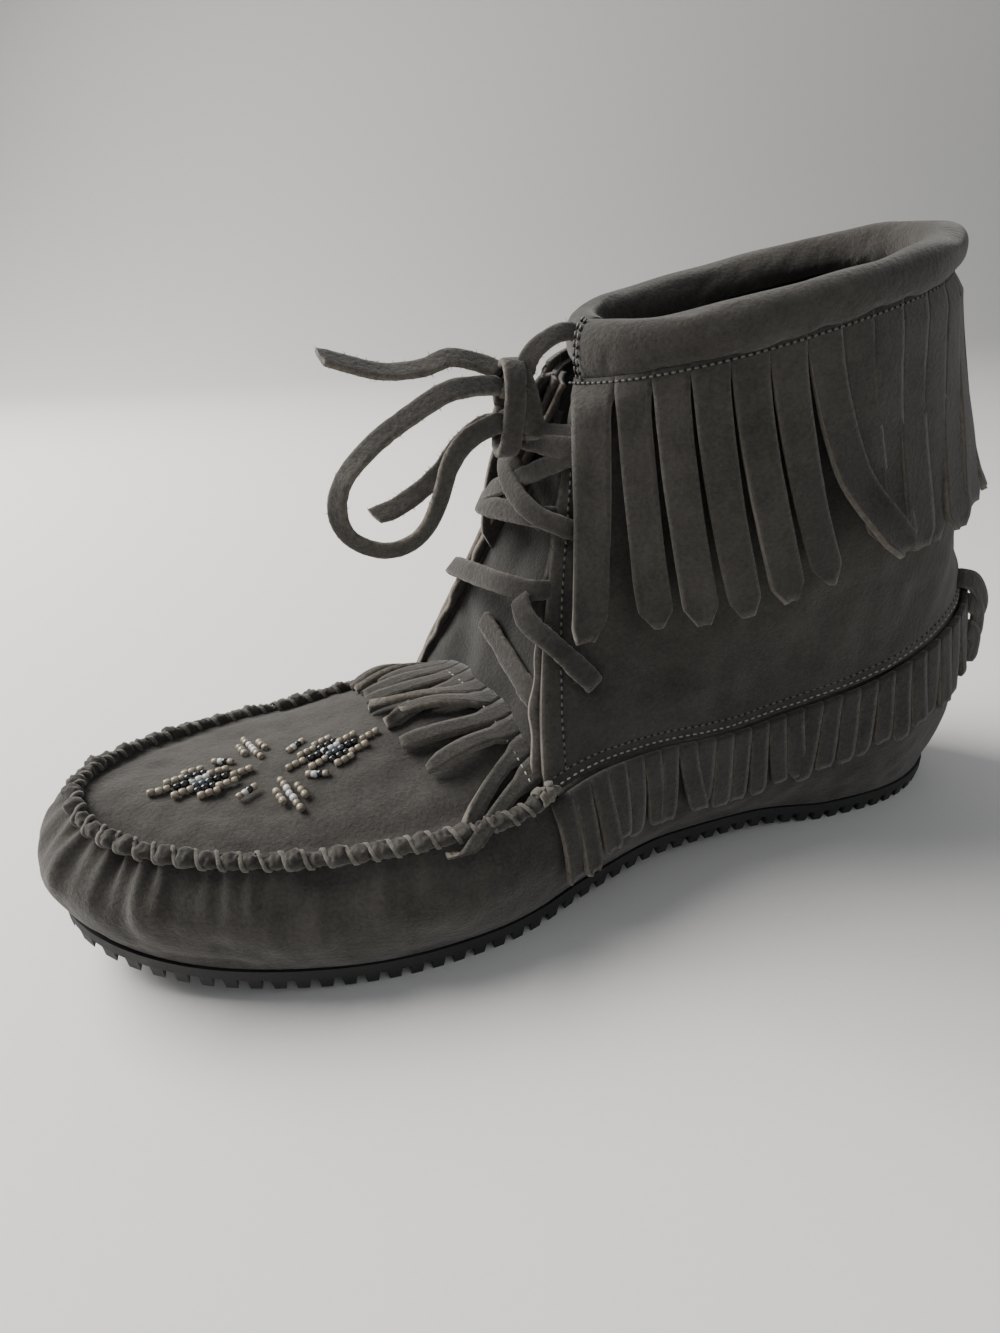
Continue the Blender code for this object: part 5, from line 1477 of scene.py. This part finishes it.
def makeSideFringe():
    # strands down the wall from the side seam, each lifted by its own share of depth squared
    look = sideLook
    fine = np.linspace(throatTurn(-1), 2 * pi - throatTurn(1), 500)
    run = runAlong(wallPoint(fine, np.ones_like(fine)))
    whole = run[-1]
    count = round(whole / look["strandWidth"])
    rng = np.random.default_rng(9)
    t = np.concatenate([[0, 0.07, 0.14], np.linspace(0.22, 0.86, 8), [0.93, 1.0]])
    a = np.linspace(-1, 1, 5)
    parts = []
    for k in range(count):
        middle = (k + 0.5) / count
        slit = np.clip((t - 0.12) / 0.10, 0, 1)
        half = 0.5 * (1 - look["split"] * slit) / count
        outline = strandOutline(t, 0.09, rng.uniform(0.5, 0.95))
        u = middle + (half * outline)[:, None] * a[None]
        lean = rng.normal(0.0, 0.0013) + (0.006 if rng.uniform() < 0.06 else 0)
        lift = rng.uniform(0.0002, 0.0018) + (0.003 if rng.uniform() < 0.08 else 0)
        length = look["strandLength"] * rng.uniform(0.93, 1.07)
        curl = rng.uniform(-0.0006, 0.0008)
        depth = np.broadcast_to(t[:, None], u.shape)
        shifted = u * whole + lean * depth**1.5
        turn = np.interp(shifted, run, fine)
        share = lengthShare(turn)
        wallHeight = topHeight(share) - soleTop(share)
        rise = 1.0 - depth * length / wallHeight
        heel = np.exp(-(((middle - 0.5) / 0.045) ** 2))
        stand = 0.0035 * heel * rng.uniform(0.3, 1.0)
        away = look["room"] + (lift + stand + curl * (a**2)[None]) * depth**2
        points = wallPoint(turn, rise, away)
        faces = turnedOut(points, quadGrid(*points.shape[:2]), np.array([-0.06, 0, 0.03]))
        wear = 0.5 * np.abs(a)[None] ** 8 * slit[:, None]
        wear = np.maximum(wear, 0.5 * smoothStep(0.95, 1.0, depth))
        parts.append((points, faces, wear))
    # the ones that stand off are face on to the near side
    for spine in heelStrands:
        path = smoothRoute(spine, len(t))
        side = look["heelHalfWidth"] * unit(np.cross(np.gradient(path, axis=0), look["heelFaces"]))
        width = strandOutline(t, 0.09, 0.6)[:, None, None]
        points = path[:, None] + side[:, None] * a[None, :, None] * width
        faces = quadGrid(*points.shape[:2])
        corners = points.reshape(-1, 3)[faces]
        if np.cross(corners[:, 2] - corners[:, 0], corners[:, 3] - corners[:, 1])[:, 1].sum() > 0:
            faces = faces[:, ::-1]
        wear = np.broadcast_to(0.5 * np.abs(a)[None] ** 8, points.shape[:2])
        parts.append((points, faces, wear))
    made = partsPiece("sideFringe", parts, [suede, rawEdge], ("side_fringe",), look["thickness"])
    print("side fringe", count, "strands", round(whole * 1000), "mm round")


makeSideFringe()

vampLook = {
    "strandWidth": 0.0068, "strandLength": 0.0150, "room": 0.0016, "thickness": 0.0022,
    "split": 0.36, "slack": 1.25,
}


def makeVampFringe():
    # strands laid forwards over the plug, each arched as a sine of its own height
    look = vampLook
    ends = plugPoint(np.array([1.0, 1.0]), np.array([-1.0, 1.0]))
    across = np.linalg.norm(ends[1] - ends[0]) * 1.05
    count = round(across / look["strandWidth"])
    rng = np.random.default_rng(3)
    reach = 1 / (last["length"] * throatShare)
    t = np.concatenate([[-0.10, 0, 0.10, 0.2], np.linspace(0.28, 0.86, 7), [0.93, 1.0]])
    a = np.linspace(-1, 1, 5)
    parts = []
    for k in range(count):
        middle = (k + 0.5) / count
        slit = np.clip((t - 0.08) / 0.12, 0, 1)
        half = 0.5 * (1 - look["split"] * slit) / count
        outline = strandOutline(np.clip(t, 0, 1), 0.12, rng.uniform(0.2, 0.6))
        u = middle + (half * outline)[:, None] * a[None]
        depth = np.broadcast_to(t[:, None], u.shape)
        pushed = np.clip(depth, 0, 1)
        lean = rng.normal(0.0, 0.15)
        length = look["strandLength"] * rng.uniform(0.80, 1.25)
        share = 1.0 - depth * length * reach
        twist = rng.uniform(-0.0016, 0.0016)
        arch = rng.uniform(0.0006, 0.0040)
        crossing = -0.93 + 1.86 * u + lean * pushed**1.4
        spot = plugPoint(share, np.clip(crossing, -1.15, 1.15))
        away = look["room"] + arch * np.sin(pi * 0.9 * pushed) + 0.0008 * pushed + twist * pushed * a[None]
        spot[..., 0] += 0.15 * away
        spot[..., 2] += away
        faces = turnedOut(spot, quadGrid(*spot.shape[:2]), np.array([-0.13, 0, -0.2]))
        wear = 0.5 * np.abs(a)[None] ** 6 * slit[:, None]
        wear = np.maximum(wear, 0.6 * smoothStep(0.93, 1.0, depth))
        parts.append((spot, faces, wear))
    made = partsPiece("vampFringe", parts, [suede, rawEdge], ("vamp_fringe",), look["thickness"])
    shares = np.full(120, 1.0 - 0.0012 * reach)
    line = plugPoint(shares, np.linspace(-0.92, 0.92, 120))
    line[:, 2] += look["room"] + 0.0001
    normal = np.tile(np.array([[-0.25, 0, 0.97]]), (120, 1))
    row = stitchRow(line, normal, 0.0021, 0.0012, 0.0006)
    partsPiece("vampStitches", [row], [whiteThread])


makeVampFringe()
print("fringes made")

# lacing
strapLook = {"widen": 1.10, "cup": 0.0002, "pinch": 0.45, "overEdge": 0.0019}
# share across from hole to hole, and how far out: through a hole where given, else over the throat
laceStops = (
    (-0.06, -0.0035), (0.0, 0.0006), (0.08, None), (0.25, None), (0.5, None), (0.75, None),
    (0.92, None), (1.0, 0.0006), (1.06, -0.0035),
)


def throatStrap(spots, ways, count):
    # evenly spaced path through the spots, with the way out at each point of it
    turned = columnsAt(np.linspace(0, 1, count), np.linspace(0, 1, len(ways)), np.array(ways))
    return smoothRoute(spots, count), turned


def lacePath(start, end, lift):
    # from hole to hole: out of one, over the edge, across the tongue, into the other
    (riseA, backA), sideA = start
    (riseB, backB), sideB = end
    stops = []
    for t, extra in laceStops:
        s = min(max(t, 0), 1)
        rise = riseA + (riseB - riseA) * s
        *_, edge = throatLine(rise)
        distance = (sideA + (sideB - sideA) * s) * (edge + backA + (backB - backA) * s)
        if t < 0 or t > 1:
            distance += 0.0015 * (sideA if t < 0 else sideB)
        out = strapLook["overEdge"] + lift * math.sin(pi * s) if extra is None else extra
        stops.append(throatPoint(rise, distance, out))
    return throatStrap(*zip(*stops), 40)


# strips over the throat: rise, millimetres across from the middle (near side minus), millimetres out
throatStrips = {
    "foldToNearHole": (
        (0.44, -20.5, -2.8), (0.475, -17.0, -0.8), (0.475, -17.2, 2.4), (0.43, -21.5, 3.3),
        (0.385, -26.5, 3.4), (0.33, -33.5, 2.9), (0.275, -40.5, 2.6), (0.245, -44.5, 2.3),
        (0.226, -47.0, 0.8), (0.220, -47.6, -1.6), (0.219, -47.2, -4.6),
    ),
    "looseOnTongue": (
        (0.375, 2.0, -3.6), (0.345, -5.0, -4.4), (0.31, -13.0, -4.5), (0.27, -22.0, -4.0),
        (0.235, -30.0, -3.6), (0.215, -36.0, -3.9),
    ),
    "lowBar": (
        (0.50, -28.0, -3.0), (0.505, -22.5, -1.0), (0.505, -17.0, 0.6), (0.500, -8.0, 2.4), (0.490, 4.0, 2.8),
        (0.478, 12.0, 2.8), (0.465, 17.5, 2.4), (0.450, 21.0, 1.6), (0.435, 24.0, -0.8), (0.430, 25.5, -3.8),
    ),
    "highBar": (
        (0.68, -21.0, -3.0), (0.685, -15.5, -0.6), (0.680, -9.0, 1.6), (0.670, 2.0, 2.8), (0.655, 11.0, 3.2),
        (0.650, 17.5, 3.2), (0.645, 21.0, 2.2), (0.64, 24.4, -0.4), (0.637, 25.4, -3.4),
    ),
}


def makeLacing():
    look = strapLook
    parts = []
    for k, (name, rows) in enumerate(throatStrips.items()):
        stops = (throatPoint(rise, across / 1000, out / 1000) for rise, across, out in rows)
        path, flat = throatStrap(*zip(*stops), 44)
        pinch = 0.0 if name == "looseOnTongue" else look["pinch"]
        width = lace["width"] * look["widen"]
        parts.append(thongPart(path, flat, width, lace["thickness"], 20 + k, look["cup"], pinch=pinch))
    low, high = laceHoles[-2:]
    for start, end, lift, seed, pinch in (
        ((low, -1), (high, 1), 0.0026, 30, look["pinch"]), ((low, 1), (high, -1), 0.0014, 31, look["pinch"]),
        ((high, -1), (high, 1), 0.0030, 40, 0.0),
    ):
        path, flat = lacePath(start, end, lift)
        parts.append(thongPart(path, flat, lace["width"], lace["thickness"], seed, look["cup"], pinch=pinch))
    # the throat lacing takes the darker thong, painted shade
    partsPiece("laceCrossings", parts, [throatLaceShaded], ("lace_crossings",))


makeLacing()
print("lacing made")

# beadwork
beadLook = {"pitch": 0.0019, "diameter": 0.0019, "length": 0.0018, "above": 0.00015, "astray": 0.00009}
# diamond: row's middle along and across (bead pitches), and its colour; the other
# half is the same turned half round
diamondRows = (
    (-5.2, -0.45, "tan"), (-3.3, 1.40, "tan"), (-1.05, 2.75, "tan"), (-2.25, -1.60, "tan"),
    (-0.55, 1.60, "black"), (-2.10, 0.05, "black"),
)
barRows = (
    (0, 0, "tan tan white white white tan tan"), (0.35, 1.35, "tan tan tan"), (-0.35, -1.35, "tan tan tan"),
)
beadColours = {"tan": tanBead, "black": blackBead, "white": whiteBead, "blue": blueBead}


def onPlug(x, y):
    # Newton steps along the plug's surface to stand above x, y
    share, across, step, tries = np.full(len(x), 0.6), np.zeros(len(x)), 0.01, 12
    for done in range(tries + 1):
        here = plugPoint(share, across)
        ahead = plugPoint(share + step, across) - here
        aside = plugPoint(share, across + step) - here
        if done == tries:
            break
        missX, missY = x - here[:, 0], y - here[:, 1]
        area = ahead[:, 0] * aside[:, 1] - ahead[:, 1] * aside[:, 0]
        share = share + step * (missX * aside[:, 1] - missY * aside[:, 0]) / area
        across = across + step * (ahead[:, 0] * missY - ahead[:, 1] * missX) / area
    normal = np.cross(ahead, aside)
    return here, unit(normal * np.sign(normal[:, 2:]))


def beadShape(places, alongs, ups, rng):
    # round profile turned about the thread, with a dimple at each hole
    side = np.cross(alongs, ups)
    profile = np.array([
        (-0.34, 0.28), (-0.5, 0.52), (-0.38, 0.86), (0.0, 1.0), (0.38, 0.86), (0.5, 0.52), (0.34, 0.28),
    ])
    angle = np.linspace(0, 2 * pi, 10, endpoint=False)
    size = 1 + rng.uniform(-0.07, 0.07, len(places))
    radius = 0.5 * beadLook["diameter"] * size[:, None] * profile[:, 1][None]
    shift = beadLook["length"] * size[:, None] * profile[:, 0][None]
    points = (
        places[:, None, None] + alongs[:, None, None] * shift[..., None, None]
        + side[:, None, None] * (radius[..., None] * np.cos(angle))[..., None]
        + ups[:, None, None] * (radius[..., None] * np.sin(angle))[..., None]
    )
    caps = np.array([[0, 1, 2, 3], [0, 3, 4, 5], [0, 5, 6, 7], [0, 7, 8, 9]])
    quads = np.concatenate([quadGrid(7, 10, wrapColumns=True), caps[:, ::-1], caps + 60])
    return points.reshape(-1, 3), manyFaces(quads, len(places), 70)


def beadRows():
    # every bead's place in plan, way and colour, one motif after another
    spots = []
    pitch = beadLook["pitch"]
    throatX = last["heelBackX"] - last["length"] * (1 - throatShare)

    def addRow(middle, turn, a, b, lean, names, squeeze=1.0):
        # row of beads at a, b (pitches) in a motif that is turned about its middle
        cos, sin = math.cos(turn), math.sin(turn)
        x, y = a * pitch, b * pitch
        cx, cy = throatX - middle[0] + x * cos - y * sin, middle[1] + x * sin + y * cos
        for k, colour in enumerate(names):
            away = (k - (len(names) - 1) / 2) * pitch * squeeze
            heading = turn + lean
            spots.append((cx + away * math.cos(heading), cy + away * math.sin(heading), heading, colour))

    lean = math.radians(14)
    for middle, turn in (((0.0725, -0.0129), math.radians(2)), ((0.0394, -0.0120), math.radians(5))):
        for half in (1, -1):
            for a, b, colour in diamondRows:
                addRow(middle, turn, half * a, half * b, lean, [colour] * 3)
        for a, b, colour in ((-0.18, 0.52, "white"), (0.18, -0.52, "blue")):
            addRow(middle, turn, a, b, lean, [colour] * 3, 0.9)
    for middle, turn in (((0.0600, -0.0010), math.radians(112)), ((0.0512, -0.0240), math.radians(110))):
        for a, b, names in barRows:
            addRow(middle, turn, a, b, 0.0, names.split())
    for middle, turn in (
        ((0.0674, -0.0054), -18), ((0.0615, -0.0200), 38), ((0.0487, -0.0055), 38), ((0.0441, -0.0195), -18),
    ):
        addRow(middle, math.radians(turn), 0, 0, 0.0, ["tan", "white", "black", "tan"], 0.72)
    return spots


# the nodes that each colour's beads stand for
motifNodes = {
    "tan": ("bead_diamond_front", "bead_diamond_back", "bead_bar_inner", "bead_bar_outer"),
    "white": ("bead_dash_front_inner", "bead_dash_front_outer"),
    "black": ("bead_dash_back_inner", "bead_dash_back_outer"),
    "blue": (),
}


def makeBeads():
    look = beadLook
    spots = beadRows()
    x, y, heading = (np.array([s[k] for s in spots]) for k in range(3))
    colours = np.array([s[3] for s in spots])
    rng = np.random.default_rng(12)
    x = x + rng.normal(0, look["astray"], len(x))
    y = y + rng.normal(0, look["astray"], len(y))
    place, up = onPlug(x, y)
    way = squareTo(np.stack([np.cos(heading), np.sin(heading), np.zeros(len(x))], -1), up)
    place = place + up * (0.5 * look["diameter"] + look["above"])
    for colour, finish in beadColours.items():
        chosen = colours == colour
        points, faces = beadShape(place[chosen], way[chosen], up[chosen], rng)
        partsPiece(colour + "Beads", [(points, faces, 0.0)], [finish], motifNodes[colour])
        print(colour, "beads", int(chosen.sum()))


makeBeads()

# loose fibres on the thong's cut edges
fuzzLook = {
    "count": 900, "length": 0.0011, "thickness": 0.00007, "sunk": 0.0002,
    "pieces": ("bowLoop", "freeLaceEnd", "backLaceEnd", "bowKnot", "laceCrossings"),
}


def readPoints(values, label, count, width):
    read = np.empty(count * width, dtype=np.float32)
    values.foreach_get(label, read)
    return read.reshape(count, width)


def makeFuzz():
    # bent three-sided hairs: a line plus a sideways share of its length squared
    look = fuzzLook
    rng = np.random.default_rng(77)
    places, ways = [], []
    for name in look["pieces"]:
        mesh = bpy.data.objects[name].data
        count = len(mesh.vertices)
        wear = readPoints(mesh.attributes["wear"].data, "value", count, 1)[:, 0]
        chosen = rng.choice(np.flatnonzero(wear > 0.55), look["count"] // len(look["pieces"]))
        places.append(readPoints(mesh.vertices, "co", count, 3)[chosen])
        ways.append(readPoints(mesh.vertex_normals, "vector", count, 3)[chosen])
    place, way = np.concatenate(places), np.concatenate(ways)
    way = unit(way + rng.normal(0, 0.55, way.shape))
    bend = rng.normal(0, 0.35, way.shape)
    length = look["length"] * rng.uniform(0.35, 1.0, len(place))[:, None, None]
    t = np.array([0.0, 0.5, 1.0])[None, :, None]
    spine = (place - look["sunk"] * way)[:, None] + length * (way[:, None] * t + bend[:, None] * t**2)
    side = unit(np.cross(way, rng.normal(size=way.shape)))
    other = np.cross(way, side)
    angle = np.array([0, 2 * pi / 3, 4 * pi / 3])[None, :, None]
    radius = look["thickness"] * np.array([1.0, 0.8, 0.3])
    ring = side[:, None] * np.cos(angle) + other[:, None] * np.sin(angle)
    points = spine[:, :, None] + ring[:, None] * radius[None, :, None, None]
    caps = np.array([[0, 2, 1, 0], [6, 7, 8, 6]])
    faces = manyFaces(np.concatenate([quadGrid(3, 3, wrapColumns=True), caps]), len(place), 9)
    partsPiece("thongFibres", [(points.reshape(-1, 3), faces, 0.8)], [thong])


makeFuzz()
print("fibres made")

# floor and light
def makeStage():
    # level floor that curves up into a backdrop far behind
    curveFrom, radius = 1.2, 0.5
    bend = np.linspace(0.1, pi / 2, 12)
    y = np.concatenate([np.linspace(-2.0, curveFrom, 9), curveFrom + radius * np.sin(bend), [1.7, 1.7]])
    z = np.concatenate([np.zeros(9), radius * (1 - np.cos(bend)), [1.2, 3.0]])
    points = np.stack(np.broadcast_arrays(np.linspace(-3, 3, 7)[None], y[:, None], z[:, None]), -1)
    made = makeMesh("paleFloor", points, quadGrid(len(y), 7))
    finish, tree, shader = newMaterial("palePaper", (0.74, 0.725, 0.70))
    grain = noiseNode(tree, objectPlace(tree), 600, 3.0)
    colour = mixRgb(tree, grain, (0.72, 0.705, 0.68), (0.76, 0.745, 0.72))
    tree.links.new(colour, shader.inputs["Base Color"])
    shader.inputs["Roughness"].default_value = 0.8
    made.data.materials.append(finish)


def areaLight(name, place, target, size, power, colour):
    data = bpy.data.lights.new(name, "AREA")
    data.shape = "RECTANGLE"
    data.size, data.size_y = size
    data.energy = power
    data.color = colour
    made = bpy.data.objects.new(name, data)
    bpy.context.scene.collection.objects.link(made)
    way = Vector(target) - Vector(place)
    made.matrix_world = Matrix.Translation(place) @ way.to_track_quat("-Z", "Y").to_matrix().to_4x4()


makeStage()
bootMiddle = (-0.08, 0, 0.06)
areaLight("windowLight", (-0.9, 0.55, 0.95), bootMiddle, (1.0, 0.8), 42, (1.0, 0.985, 0.96))
areaLight("roomFill", (0.35, -1.1, 0.9), bootMiddle, (1.2, 1.0), 1.5, (0.97, 0.98, 1.0))
world = bpy.data.worlds.new("softRoom")
world.use_nodes = True
world.node_tree.nodes["Background"].inputs["Color"].default_value = (0.80, 0.83, 0.88, 1)
world.node_tree.nodes["Background"].inputs["Strength"].default_value = 0.40
bpy.context.scene.world = world
print("stage made")

bpy.context.view_layer.update()
